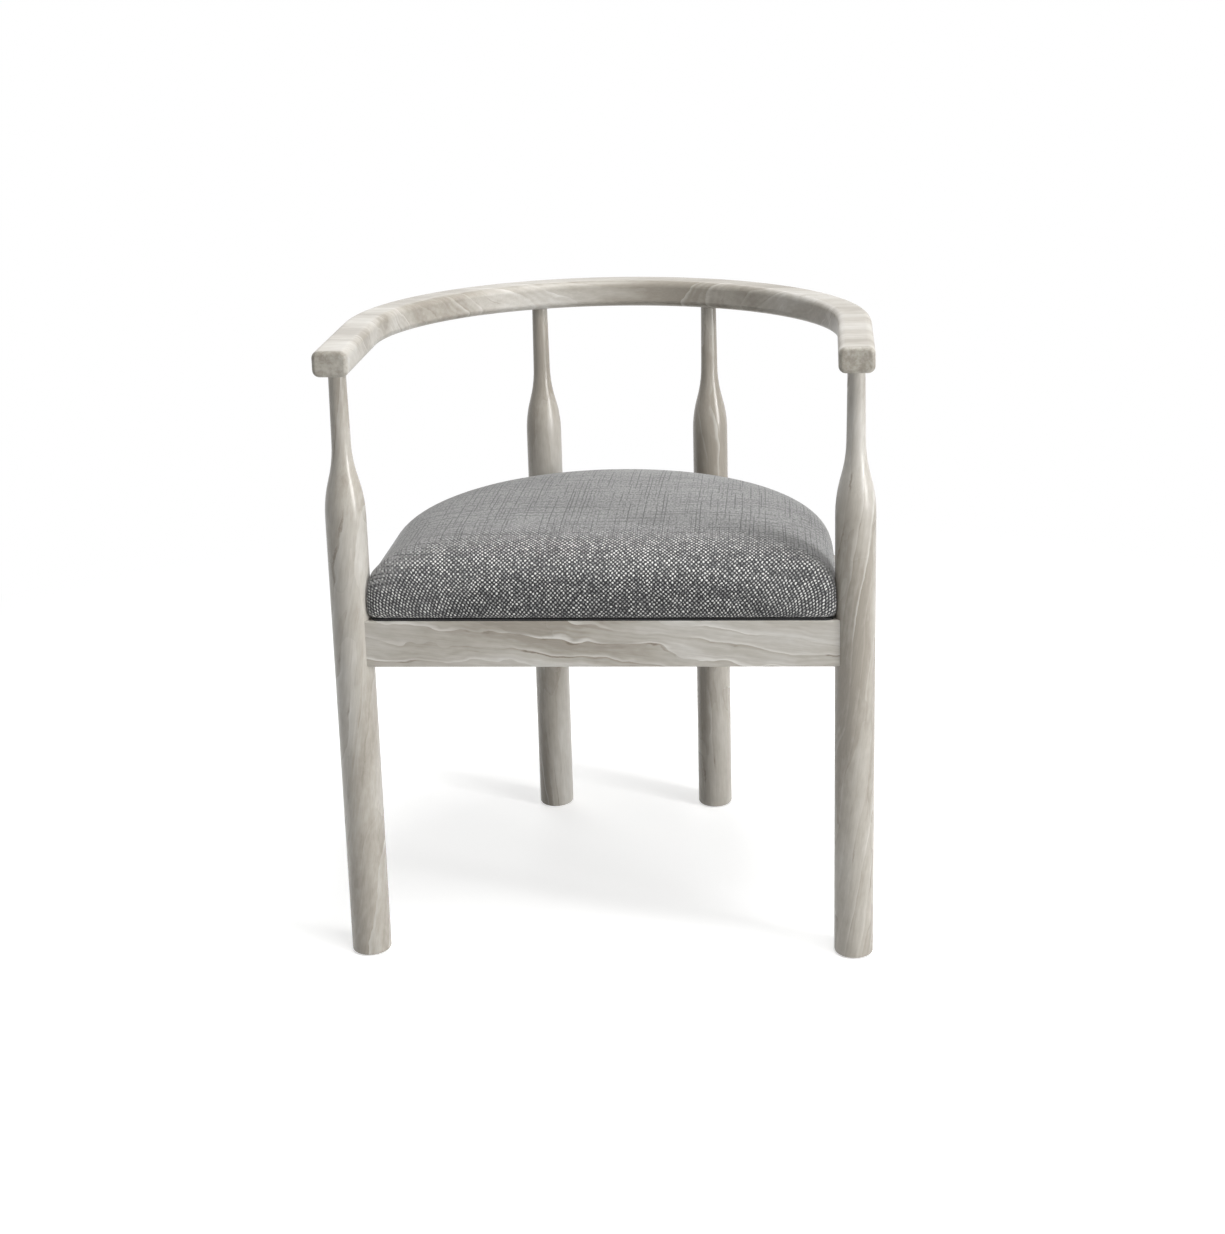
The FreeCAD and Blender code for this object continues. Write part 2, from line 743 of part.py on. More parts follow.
def seat_screw_places():
    """Plan place of the four screws that hold the seat, by block name."""
    inset = "Sizes.seat_screw_inset"
    reach = "(inner_rail_radius - 2 * Sizes.rear_block_depth / 3)"
    spots = {}
    for side, sign in SIDES.items():
        spots[f"front_{side}"] = (
            f"{sign} * (inner_corner_x - {inset})", f"front_rail_back_y + {inset}")
        spots[f"rear_{side}"] = (
            f"{sign} * {reach} * sin(rear_turn)", f"arc_y + {reach} * cos(rear_turn)")
    return spots


def make_front_block(side, sign):
    """Three-sided brace in a front corner, between the front rail and a side rail."""
    name = f"front_{side}_corner_block"
    gap = "Sizes.glue_gap"
    reach = "Sizes.front_block_side"
    blank = plate(name + "_blank", [
        (f"{sign} * (inner_corner_x - {gap})", f"front_rail_back_y + {gap}"),
        (f"{sign} * (inner_corner_x + {reach} * tan(toe) - {gap})", f"front_rail_back_y + {reach}"),
        (f"{sign} * (inner_corner_x - {reach})", f"front_rail_back_y + {gap}"),
    ], "block_low", "Sizes.block_height")
    return cut(name, blank, block_bores(name, front_screws(sign), seat_screw_places()[f"front_{side}"]))


def make_rear_block(side, sign):
    """Brace across the joint of the side and rear rails, curved to them."""
    name = f"rear_{side}_corner_block"
    body = new_body(name + "_blank")
    radius = "(inner_rail_radius - Sizes.glue_gap)"
    across = "Sizes.rear_block_half_width"
    shoulder = f"sqrt({radius} ^ 2 - {across} ^ 2)"
    flat = f"{radius} - Sizes.rear_block_depth"
    plan = [
        (flat, f"-{across}"),
        (shoulder, f"-{across}", radius, 1),
        (shoulder, across),
        (flat, across),
    ]
    pad(body, draw(new_sketch(body, "plan", level="block_low"), plan), "Sizes.block_height")
    turn = "90 - Sizes.rear_leg_angle" if sign > 0 else "90 + Sizes.rear_leg_angle"
    place(body, y="arc_y", turn=f"({turn}) * 1 deg")
    return cut(name, body, block_bores(name, rear_screws(sign), seat_screw_places()[f"rear_{side}"]))


def block_bores(name, screws, seat_spot):
    """Shank bores and head bores of a block's rail screws, and the bore of its seat screw."""
    bores = []
    for number, (x, y, angle) in enumerate(screws, start=1):
        bores.append(screw_bore(f"{name}_shank_bore_{number}", x, y, BLOCK_SCREW_Z, angle,
                                "Sizes.block_screw_cover + Sizes.cut_spare"))
        head_x = f"{x} + Sizes.screw_head_height * cos(({angle}) * 1 deg)"
        head_y = f"{y} + Sizes.screw_head_height * sin(({angle}) * 1 deg)"
        bores.append(screw_bore(f"{name}_head_bore_{number}", head_x, head_y, BLOCK_SCREW_Z,
                                f"{angle} + 180", "Sizes.front_block_side", "head_hole_radius"))
    bores.append(rod(name + "_seat_bore", "screw_hole_radius", "Sizes.block_height + 2 * Sizes.cut_spare",
                     *seat_spot, "block_low - Sizes.cut_spare"))
    bores.append(rod(name + "_seat_head_bore", "head_hole_radius",
                     "Sizes.cut_spare + Sizes.screw_head_height", *seat_spot,
                     "block_low - Sizes.cut_spare"))
    return bores


def screw(name, length):
    """Wood screw, head down: flat head, cone under it and a pointed shank along +Z."""
    shank = "Sizes.screw_diameter / 2"
    point = f"{length} - Sizes.screw_diameter"
    profile = [
        ("0", "0"),
        ("Sizes.screw_head_diameter / 2", "0"),
        (shank, "Sizes.screw_head_height"),
        (shank, point),
        ("0", length),
    ]
    return turned(name, profile)


def make_block_screws():
    """Two screws for each corner block, all alike."""
    screws = []
    for side, sign in SIDES.items():
        for row, spots in (("front", front_screws(sign)), ("rear", rear_screws(sign))):
            for number, (x, y, angle) in enumerate(spots, start=1):
                piece = screw(f"{row}_{side}_block_screw_{number}", "Sizes.block_screw_length")
                turn = FreeCAD.Rotation(FreeCAD.Vector(0, 0, 1), level_direction(read(angle)))
                piece.Placement = FreeCAD.Placement(FreeCAD.Vector(), turn)
                screws.append(place(piece, x, y, BLOCK_SCREW_Z))
    return group("corner_block_screws", screws)


def make_seat_screws():
    """One screw up through each block into the seat board."""
    screws = []
    for name, (x, y) in seat_screw_places().items():
        screws.append(place(screw(f"{name}_seat_screw", "seat_screw_length"), x, y, "block_low"))
    return group("seat_screws", screws)


# The slip seat: outlines like a D with a round back, and sections that close over the crown

def seat_plan(inset, spread=1.0):
    """Seat outline, drawn in by an inset, then shrunk about the crown's centre by a share."""
    half = f"(seat_half_width - {inset})"
    corner = "Sizes.seat_corner_radius"
    front = f"(seat_front_y + {inset})"

    def at(x, y):
        return f"{spread} * ({x})", f"crown_y + {spread} * ({y} - crown_y)"

    round_back = f"{spread} * {half}"
    round_corner = f"{spread} * {corner}"
    return [
        (*at(half, "arc_y"), round_back, 1),
        ("0", f"crown_y + {spread} * (arc_y + {half} - crown_y)", round_back, 1),
        at(f"-{half}", "arc_y"),
        (*at(f"-{half}", f"{front} + {corner}"), round_corner, 1),
        at(f"-{half} + {corner}", front),
        (*at(f"{half} - {corner}", front), round_corner, 1),
        at(half, f"{front} + {corner}"),
    ]


def roll_section(share, skin, low):
    """Outline values and level, a share of a quarter turn round the edge roll from a low level."""
    drawn_in = round(1 - math.sin(share * math.pi / 2), 6)
    rise = round(1 - math.cos(share * math.pi / 2), 6)
    inset = f"({skin} + {drawn_in} * Sizes.seat_edge_inset)"
    return (inset, 1.0), f"{low} + {rise} * (seat_wide_z - {low})"


def crown_section(share, skin):
    """Outline values and level, a share of the way up the crown."""
    spread = round((1 - share ** CROWN_POWER) ** (1 / CROWN_POWER), 6)
    return (skin, spread), f"seat_wide_z + {share} * (Sizes.seat_crown - {skin})"


def crowned(name, skin, low):
    """Loft of the seat's crown, a skin's thickness inside the outer face, from a level up."""
    body = new_body(name)
    spans = [[roll_section(share, skin, low) for share in ROLL_TURN_SHARES]]
    spans += [[crown_section(share, skin) for share in shares] for shares in CROWN_RISE_SHARES]
    below = []
    for number, sections in enumerate(spans, start=1):
        sketches = below + [
            draw(new_sketch(body, f"span_{number}_section_{place_in}", level=level), seat_plan(*outline))
            for place_in, (outline, level) in enumerate(sections, start=1)]
        feature = body.newObject("PartDesign::AdditiveLoft", f"{name}_loft_{number}")
        feature.Profile = sketches[0]
        feature.Sections = sketches[1:]
        doc.recompute()
        below = sketches[-1:]
    return body


def seat_notches(name, radius):
    """Upright cylinders where the front posts stand into the seat's outline."""
    return [post_notch(f"{name}_{side}_post_notch", f"{sign} * front_leg_x", "front_leg_y", radius)
            for side, sign in SIDES.items()]


def seat_screw_bores(name):
    """Bores for the seat screws, from below up to the ends of their points."""
    length = "seat_screw_length + Sizes.bore_end_gap"
    return [rod(f"{name}_{spot}_screw_bore", "screw_hole_radius", length, x, y, "block_low")
            for spot, (x, y) in seat_screw_places().items()]


def make_seat_cover():
    """Woven cover over the crown, turned under the board all round."""
    skin = "Sizes.cover_thickness"
    outer = cut("seat_cover_outside", crowned("seat_cover_crown", "0", "cover_low"),
                seat_notches("seat_cover", "leg_radius + Sizes.seat_gap"))
    inner = cut("seat_cover_inside", crowned("seat_cover_hollow", skin, "board_low"),
                seat_notches("seat_cover_inside", "leg_radius + Sizes.seat_gap + Sizes.cover_thickness"))
    window = plate("seat_cover_window", seat_plan("Sizes.cover_return"),
                   "cover_low - Sizes.cut_spare", "2 * Sizes.cut_spare")
    return cut("seat_cover", outer, [inner, window, *seat_screw_bores("seat_cover")])


def make_board(name, gap):
    """Plan of the plywood board, with a gap round it."""
    body = plate(name + "_blank", seat_plan(f"(Sizes.board_inset - {gap})"),
                 f"board_low - {gap}", f"Sizes.board_thickness + 2 * {gap}")
    radius = f"leg_radius + Sizes.seat_gap + Sizes.board_inset - {gap}"
    return cut(name, body, seat_notches(name, radius))


def make_seat_board():
    """Plywood board with pilot bores for the seat screws."""
    return cut("seat_board", make_board("seat_board_outline", "0"),
               seat_screw_bores("seat_board"))


def make_seat_foam():
    """Foam that fills the crown over the board and laps its edge."""
    skin = "(Sizes.cover_thickness + Sizes.cloth_gap)"
    crown = cut("seat_foam_outside", crowned("seat_foam_crown", skin, "(board_low + Sizes.cloth_gap)"),
                seat_notches("seat_foam", f"leg_radius + Sizes.seat_gap + {skin}"))
    return cut("seat_foam", crown, [make_board("seat_foam_hollow", "Sizes.glue_gap")])


def make_dust_cover():
    """Black cloth under the seat, whose edge shows as a dark line over the rails."""
    inset = "Sizes.dust_cover_inset"
    body = plate("seat_dust_cover_blank", seat_plan(inset), "Sizes.seat_rail_top",
                 "Sizes.dust_cover_thickness")
    radius = f"leg_radius + Sizes.seat_gap + {inset}"
    return cut("seat_dust_cover", body,
               seat_notches("seat_dust_cover", radius) + seat_screw_bores("seat_dust_cover"))


def make_all():
    """Every piece of the chair, by node name."""
    pieces = []
    for name, x, y, tenon_lines in POSTS:
        pieces.append(make_leg(name, x, y, tenon_lines))
        pieces.append(make_glide(name, x, y))
    pieces.append(make_back_rail())
    pieces.append(make_dowels())
    pieces.append(make_front_seat_rail())
    pieces.append(make_rear_seat_rail())
    for side, sign in SIDES.items():
        pieces.append(make_arm_rail(side, sign))
        pieces.append(make_side_seat_rail(side, sign))
        pieces.append(make_front_block(side, sign))
        pieces.append(make_rear_block(side, sign))
    pieces.append(make_block_screws())
    pieces.append(make_seat_screws())
    pieces.append(make_seat_board())
    pieces.append(make_seat_foam())
    pieces.append(make_seat_cover())
    pieces.append(make_dust_cover())
    return pieces


pieces = make_all()
doc.recompute()

faults = [item.Label for item in doc.Objects if "Invalid" in item.State or "Error" in item.State]
faults += [item.Label for item in pieces if item.Shape.isNull() or not item.Shape.isValid()]
if faults:
    raise RuntimeError("failed objects: " + ", ".join(faults))

for piece in pieces:
    piece.Label = piece.Name
    piece.Shape.exportStep(f"parts/{piece.Label}.step")
    print(f"{piece.Label}: {len(piece.Shape.Solids)} solids, {piece.Shape.Volume / 1000:.1f} cm3")
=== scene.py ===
import logging
import math
from dataclasses import dataclass, field
from enum import Enum
from functools import reduce
from typing import Optional, Sequence, Union

import bpy
import numpy as np
from mathutils import Matrix, Vector


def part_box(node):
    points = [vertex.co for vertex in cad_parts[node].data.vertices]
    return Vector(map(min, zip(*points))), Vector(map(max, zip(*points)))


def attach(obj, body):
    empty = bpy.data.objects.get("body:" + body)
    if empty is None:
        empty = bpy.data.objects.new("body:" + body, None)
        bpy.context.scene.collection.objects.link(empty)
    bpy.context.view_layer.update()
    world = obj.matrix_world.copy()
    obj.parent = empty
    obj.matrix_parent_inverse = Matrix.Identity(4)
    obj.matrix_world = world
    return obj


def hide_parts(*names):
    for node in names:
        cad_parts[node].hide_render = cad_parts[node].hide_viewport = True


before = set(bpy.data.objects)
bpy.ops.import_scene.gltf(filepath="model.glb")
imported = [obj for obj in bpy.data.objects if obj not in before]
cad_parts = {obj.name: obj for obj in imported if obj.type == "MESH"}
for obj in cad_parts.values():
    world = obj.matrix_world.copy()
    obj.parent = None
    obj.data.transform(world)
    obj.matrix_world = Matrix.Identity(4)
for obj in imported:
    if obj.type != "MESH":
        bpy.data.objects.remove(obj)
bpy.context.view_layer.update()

# Looks of the horseshoe back armchair, in metres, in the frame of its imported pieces.
# Front towards -Y, +Z up, the floor at zero.

MM = 0.001
TINY = 1e-9
QUARTER = math.pi / 2
BODY = "root"

log = logging.getLogger("armchair")

Socket = bpy.types.NodeSocket
Outputs = bpy.types.NodeOutputs
Operand = Union[float, Socket]
Colour = tuple[float, float, float]
Place = tuple[float, float, float]
Stops = Sequence[tuple[float, Colour]]

# Tones of the limed wood across a growth layer, of its pale line, of the shade beside that line
# and of its open pores.
LIMED_TONES: Stops = (
    (0.00, (0.300, 0.272, 0.230)), (0.30, (0.390, 0.363, 0.318)),
    (0.65, (0.470, 0.448, 0.407)), (1.00, (0.560, 0.545, 0.512)),
)
LIMED_LINE: Colour = (0.690, 0.675, 0.640)
LIMED_SHADE: Colour = (0.290, 0.245, 0.190)
LIMED_PORE: Colour = (0.170, 0.138, 0.104)

# Tones of the limed wood where it is cut across, and of the board's plies.
CUT_TONES: Stops = (
    (0.00, (0.230, 0.208, 0.170)), (0.55, (0.330, 0.308, 0.264)), (1.00, (0.410, 0.388, 0.343)),
)
PLY_TONES: Stops = ((0.2, (0.40, 0.29, 0.18)), (0.8, (0.62, 0.50, 0.35)))

# Tones of the weave from black yarn to off-white dot, and of the even grey that paints the weave's
# sheen on the level top.
DOT_TONES: Stops = (
    (0.00, (0.024, 0.024, 0.026)), (0.22, (0.095, 0.095, 0.098)),
    (0.55, (0.300, 0.300, 0.296)), (1.00, (0.780, 0.778, 0.755)),
)
SHEEN_GREY_TONES: Stops = (
    (0.0, (0.070, 0.070, 0.071)), (0.5, (0.244, 0.243, 0.240)), (1.0, (0.384, 0.382, 0.375)),
)

# Inputs of the limed grain, which a finish sets from its fields of the same names.
GRAIN_VALUES = ("Layers", "Wander", "Ripple", "Pale", "Steps", "Bands", "Veins", "Cracks", "Dull")

# Weight and stiffness of the cover for Blender's Cloth.
COVER_CLOTH = {
    "quality": 6, "mass": 0.4, "tension_stiffness": 25.0, "compression_stiffness": 25.0,
    "shear_stiffness": 12.0, "bending_stiffness": 2.0, "use_pressure": True,
}


class GrainLine(Enum):
    """Way that the wood's grain runs in a piece, as the turn that brings it to the pattern's X."""

    LEVEL = (0.0, 0.0, 0.0)
    SLOPED = (0.0, math.radians(-7.0), 0.0)
    LEANING = (0.0, math.radians(81.0), 0.0)
    UPRIGHT = (0.0, math.radians(93.0), 0.0)


class Side(Enum):
    """Side of the chair, as a viewer in front of it sees it, with the sign of its X."""

    LEFT = -1
    RIGHT = 1

    @property
    def word(self) -> str:
        """Word for the side in the pieces' names."""
        return self.name.lower()


class Mark(Enum):
    """Mark of handling that a plain finish follows, by its name in the rubbed film."""

    BLOTCH = "Blotch"
    GRAIN = "Grain"


class Graph:
    """A shader node tree while it is put together."""

    def __init__(self, tree: bpy.types.NodeTree) -> None:
        """Keep the tree that nodes are added to."""
        self.tree = tree

    @classmethod
    def of(cls, owner: Union[bpy.types.Material, bpy.types.World]) -> "Graph":
        """Emptied node graph of a material or world.

        Args:
            owner: the material or world.

        Returns:
            Its graph.
        """
        owner.use_nodes = True
        owner.node_tree.nodes.clear()
        return cls(owner.node_tree)

    def feed(self, socket: Socket, value: object) -> None:
        """Link an input to a socket, or set it to a plain value.

        Args:
            socket: the input.
            value: a socket, number, vector or colour.
        """
        if isinstance(value, Socket):
            self.tree.links.new(value, socket)
        else:
            socket.default_value = (*value, 1.0) if socket.type == "RGBA" else value

    def node(
        self, kind: str, inputs: Union[Sequence[object], dict[str, object]] = (),
        **settings: object,
    ) -> bpy.types.Node:
        """Add a node.

        Args:
            kind: the node's type, without the word that all of them begin with.
            inputs: what its inputs take, in their order or by their names.
            settings: properties of the node and their values.

        Returns:
            The new node.
        """
        made = self.tree.nodes.new("ShaderNode" + kind)
        for name, value in settings.items():
            setattr(made, name, value)
        for key, value in inputs.items() if isinstance(inputs, dict) else enumerate(inputs):
            self.feed(made.inputs[key], value)
        return made

    def math(self, operation: str, *operands: Operand, clamp: bool = False) -> Socket:
        """Arithmetic on one to three numbers, kept from 0 to 1 where it is clamped."""
        return self.node("Math", operands, operation=operation, use_clamp=clamp).outputs[0]

    def times(self, *factors: Operand) -> Socket:
        """Product of two or more numbers."""
        return reduce(lambda left, right: self.math("MULTIPLY", left, right), factors)

    def plus(
        self, base: Operand, value: Operand, weight: Operand = 1.0, clamp: bool = False,
    ) -> Socket:
        """Number plus a weighted one, kept from 0 to 1 where it is clamped."""
        return self.math("MULTIPLY_ADD", value, weight, base, clamp=clamp)

    def span(self, value: Operand, low: float, high: float) -> Socket:
        """Number from 0 to 1 spread from low to high."""
        return self.math("MULTIPLY_ADD", value, high - low, low)

    def step(self, value: Operand, low: float, high: float) -> Socket:
        """Smooth step of a number.

        Args:
            value: the number.
            low: where the step is 0.
            high: where the step is 1, above low or below it.

        Returns:
            The step's socket.
        """
        names = ("From Min", "From Max", "To Min", "To Max")
        ends = (low, high, 0.0, 1.0) if low < high else (high, low, 1.0, 0.0)
        made = self.node("MapRange", {"Value": value, **dict(zip(names, ends))},
                         interpolation_type="SMOOTHSTEP")
        return made.outputs["Result"]

    def near(self, value: Operand, middle: Operand, width: float) -> Socket:
        """Mask that is 1 where a number meets a middle and falls to 0 at a width from it."""
        apart = self.math("ABSOLUTE", self.math("SUBTRACT", value, middle))
        return self.step(apart, width, 0.0)

    def chance(self, seed: Socket) -> Socket:
        """Random number that belongs to a number, or to the X and Y of a vector.

        Args:
            seed: the number or vector.

        Returns:
            Socket of the random number, from 0 to 1.
        """
        label, kind = ("Vector", "2D") if seed.type == "VECTOR" else ("W", "1D")
        made = self.node("TexWhiteNoise", {label: seed}, noise_dimensions=kind)
        return made.outputs["Value"]

    def vector(self, operation: str, *operands: object) -> Socket:
        """Arithmetic on vectors, which gives a number for a length."""
        made = self.node("VectorMath", operands, operation=operation)
        return made.outputs["Value" if operation == "LENGTH" else "Vector"]

    def scaled(self, vector: Socket, factors: Sequence[float]) -> Socket:
        """Vector times three factors."""
        return self.vector("MULTIPLY", vector, tuple(factors))

    def resized(self, vector: Socket, factor: Operand) -> Socket:
        """Vector times one number."""
        inputs = {"Vector": vector, "Scale": factor}
        return self.node("VectorMath", inputs, operation="SCALE").outputs[0]

    def axes(self, vector: Socket) -> Outputs:
        """Outputs X, Y and Z of a vector that is taken apart."""
        return self.node("SeparateXYZ", [vector]).outputs

    def joined(self, x: Operand, y: Operand) -> Socket:
        """Vector of an X and a Y."""
        return self.node("CombineXYZ", (x, y)).outputs[0]

    def where(self) -> Socket:
        """Object coordinates, in metres."""
        return self.node("TexCoord").outputs["Object"]

    def grained(self, turn: GrainLine, shift: Place) -> Socket:
        """Object coordinates turned to the grain and moved, so that like pieces differ."""
        inputs = {"Vector": self.where(), "Rotation": turn.value, "Location": shift}
        return self.node("Mapping", inputs).outputs[0]

    def noise(
        self, vector: Socket, scale: Operand, along: float = 1.0, axis: int = 0,
        detail: float = 2.0, roughness: float = 0.5, distortion: float = 0.0,
        colour: bool = False,
    ) -> Socket:
        """Smooth noise in space.

        Args:
            vector: where it is read.
            scale: features for each metre.
            along: share of that along one axis, where the features are drawn out.
            axis: number of that axis.
            detail: octaves added.
            roughness: weight of the finer octaves.
            distortion: how far it is pulled about.
            colour: whether three noises are wanted rather than one.

        Returns:
            Socket of the noise, about 0.5.
        """
        if along != 1.0:
            factors = [1.0, 1.0, 1.0]
            factors[axis] = along
            vector = self.scaled(vector, factors)
        inputs = {"Vector": vector, "Scale": scale, "Detail": detail, "Roughness": roughness,
                  "Distortion": distortion}
        made = self.node("TexNoise", inputs, noise_dimensions="3D")
        return made.outputs["Color" if colour else "Fac"]

    def pulled(
        self, vector: Socket, scale: float, reach: float, along: float = 1.0, detail: float = 1.5,
    ) -> Socket:
        """Random vector that changes slowly over space.

        Args:
            vector: where it is read.
            scale: features for each metre.
            reach: its size in metres, from end to end.
            along: share of the scale along X.
            detail: octaves added.

        Returns:
            The vector's socket, about zero.
        """
        raw = self.noise(vector, scale, along, detail=detail, colour=True)
        centred = self.vector("SUBTRACT", raw, (0.5, 0.5, 0.5))
        return self.scaled(centred, (reach, reach, reach))

    def ramp(self, factor: Operand, stops: Stops) -> Socket:
        """Colour that changes with a number.

        Args:
            factor: number from 0 to 1.
            stops: places on the ramp and their colours.

        Returns:
            The colour's socket.
        """
        made = self.node("ValToRGB", [factor])
        elements = made.color_ramp.elements
        while len(elements) < len(stops):
            elements.new(0.5)
        for element, (place, colour) in zip(elements, stops):
            element.position = place
            element.color = (*colour, 1.0)
        return made.outputs["Color"]

    def mix(self, factor: Operand, first: object, second: object, blend: str = "MIX") -> Socket:
        """Blend of two colours.

        Args:
            factor: share of the second.
            first: colour or socket.
            second: colour or socket.
            blend: the Mix node's blend type.

        Returns:
            The blended colour's socket.
        """
        made = self.node("Mix", {"Factor": factor}, data_type="RGBA", blend_type=blend)
        sockets = [socket for socket in made.inputs if socket.type == "RGBA"]
        for socket, value in zip(sockets, (first, second)):
            self.feed(socket, value)
        return next(socket for socket in made.outputs if socket.type == "RGBA")

    def effect(self, name: str, **inputs: object) -> Outputs:
        """Outputs of a shared effect, placed in the graph with its own values."""
        return self.node("Group", inputs, node_tree=bpy.data.node_groups[name]).outputs


class EffectGroup(Graph):
    """A shader node group with named inputs and outputs, shared by several materials."""

    def __init__(self, name: str, *labels: str) -> None:
        """Make the group and its inputs.

        Args:
            name: the group's name.
            labels: its number inputs, after the Vector that each group has.
        """
        super().__init__(bpy.data.node_groups.new(name, "ShaderNodeTree"))
        for label in ("Vector", *labels):
            kind = "NodeSocketVector" if label == "Vector" else "NodeSocketFloat"
            self.tree.interface.new_socket(label, in_out="INPUT", socket_type=kind)
        self.taken = self.tree.nodes.new("NodeGroupInput").outputs

    def give(self, **results: Socket) -> bpy.types.NodeTree:
        """Make the group's outputs.

        Args:
            results: what each output gives, by its name.

        Returns:
            The finished group.
        """
        for label, socket in results.items():
            kind = "NodeSocketColor" if socket.type == "RGBA" else "NodeSocketFloat"
            self.tree.interface.new_socket(label, in_out="OUTPUT", socket_type=kind)
        given = self.tree.nodes.new("NodeGroupOutput").inputs
        for label, socket in results.items():
            self.feed(given[label], socket)
        return self.tree


def limed_grain() -> bpy.types.NodeTree:
    """Figure of the limed wood: wandering growth layers, each paling towards a thin line.

    The grain runs along the vector's X. The layers are rings about the vector's X axis, pulled
    about by noise that is stretched along the grain. Across a layer the tone climbs from a dark
    side to a thin pale line, where it drops to the dark side of the next. Each layer has its own
    strength, finer bands ride on it, and ragged dark pores follow some of the drops.

    Returns:
        The node group.
    """
    group = EffectGroup("limed grain", *GRAIN_VALUES)
    taken = group.taken
    place = taken["Vector"]
    drift = group.pulled(place, 6.0, 0.075, along=0.16)
    waves = group.pulled(place, 22.0, 0.021, along=0.30)
    ripples = group.pulled(place, 48.0, 0.011, along=0.50)
    jags = group.pulled(place, 120.0, 0.0026, along=0.55)
    wander = group.resized(group.vector("ADD", drift, waves), taken["Wander"])
    rough = group.vector("ADD", group.resized(ripples, taken["Ripple"]), jags)
    pulled = group.vector("ADD", place, group.vector("ADD", wander, rough))
    radius = group.vector("LENGTH", group.scaled(pulled, (0.0, 1.0, 1.0)))
    turn = group.times(radius, taken["Layers"])
    part = group.math("FRACT", turn)
    own = group.chance(group.math("FLOOR", turn))

    haze = group.noise(pulled, 14.0, along=0.22, detail=3.0, roughness=0.55)
    cloud = group.step(haze, 0.28, 0.74)
    mottle = group.span(group.noise(place, 170.0, along=0.4, detail=3.0), -0.25, 0.25)
    climb = group.times(group.math("POWER", part, 1.6), group.span(own, 0.06, 0.36))
    fine = group.math("SINE", group.times(turn, 2.0 * math.pi * 2.63))
    level = group.plus(group.plus(cloud, mottle), group.times(fine, own, taken["Bands"]))
    level = group.plus(level, group.plus(group.times(climb, taken["Steps"]), taken["Pale"]))
    tone = group.ramp(level, LIMED_TONES)

    shown = group.step(group.noise(pulled, 26.0, along=0.36, detail=1.0), 0.42, 0.60)
    line = group.times(group.step(part, 0.80, 0.955), group.step(own, 0.15, 0.65))
    tone = group.mix(group.times(line, shown, taken["Veins"]), tone, LIMED_LINE)
    shade = group.times(group.step(part, 0.18, 0.0), group.times(shown, 0.4))
    tone = group.mix(group.times(shade, taken["Veins"]), tone, LIMED_SHADE)

    crumbs = group.noise(place, 300.0, along=0.6)
    ragged = group.math("FRACT", group.plus(turn, crumbs, 0.20))
    patch = group.step(group.noise(pulled, 34.0, along=0.55, roughness=0.6), 0.56, 0.66)
    cracks = group.times(group.near(ragged, 0.17, 0.085), patch, taken["Cracks"])
    tone = group.mix(cracks, tone, LIMED_PORE)

    fibre = group.noise(place, 950.0, along=0.03)
    light = group.span(group.step(fibre, 0.3, 0.7), 0.95, 1.04)
    grey = group.node("CombineColor", (light, light, light)).outputs[0]
    tone = group.mix(1.0, tone, grey, blend="MULTIPLY")
    dull = group.plus(group.plus(group.span(cloud, 0.18, 0.30), taken["Dull"]), cracks, 0.18)
    return group.give(Color=tone, Roughness=dull,
                      Height=group.plus(group.times(fibre, 0.35), cracks, -0.9))


def dark_threads(
    group: Graph, over: Socket, along: Socket, count: float, gaps: float, width: float,
) -> Socket:
    """Mask of thin threads that run one way, each with its own place, gaps and strength.

    Args:
        group: the node graph that they are added to.
        over: coordinate that counts the threads.
        along: coordinate that runs along them.
        count: threads for each metre.
        gaps: changes from shown to hidden for each metre.
        width: half the share of a thread's room that it darkens.

    Returns:
        Socket of the mask.
    """
    slow = group.joined(group.times(over, 30.0), group.times(along, 6.0))
    place = group.plus(group.noise(slow, 1.0, detail=1.0), over, count)
    number = group.math("FLOOR", place)
    chance = group.chance(number)
    line = group.near(group.math("FRACT", place), group.span(chance, 0.2, 0.8), width)
    run = group.joined(group.times(number, 7.7), group.times(along, gaps))
    shown = group.step(group.noise(run, 1.0, detail=1.0), 0.40, 0.58)
    own = group.math("FRACT", group.times(chance, 7.3))
    return group.times(line, group.times(shown, group.span(own, 0.4, 1.0)))


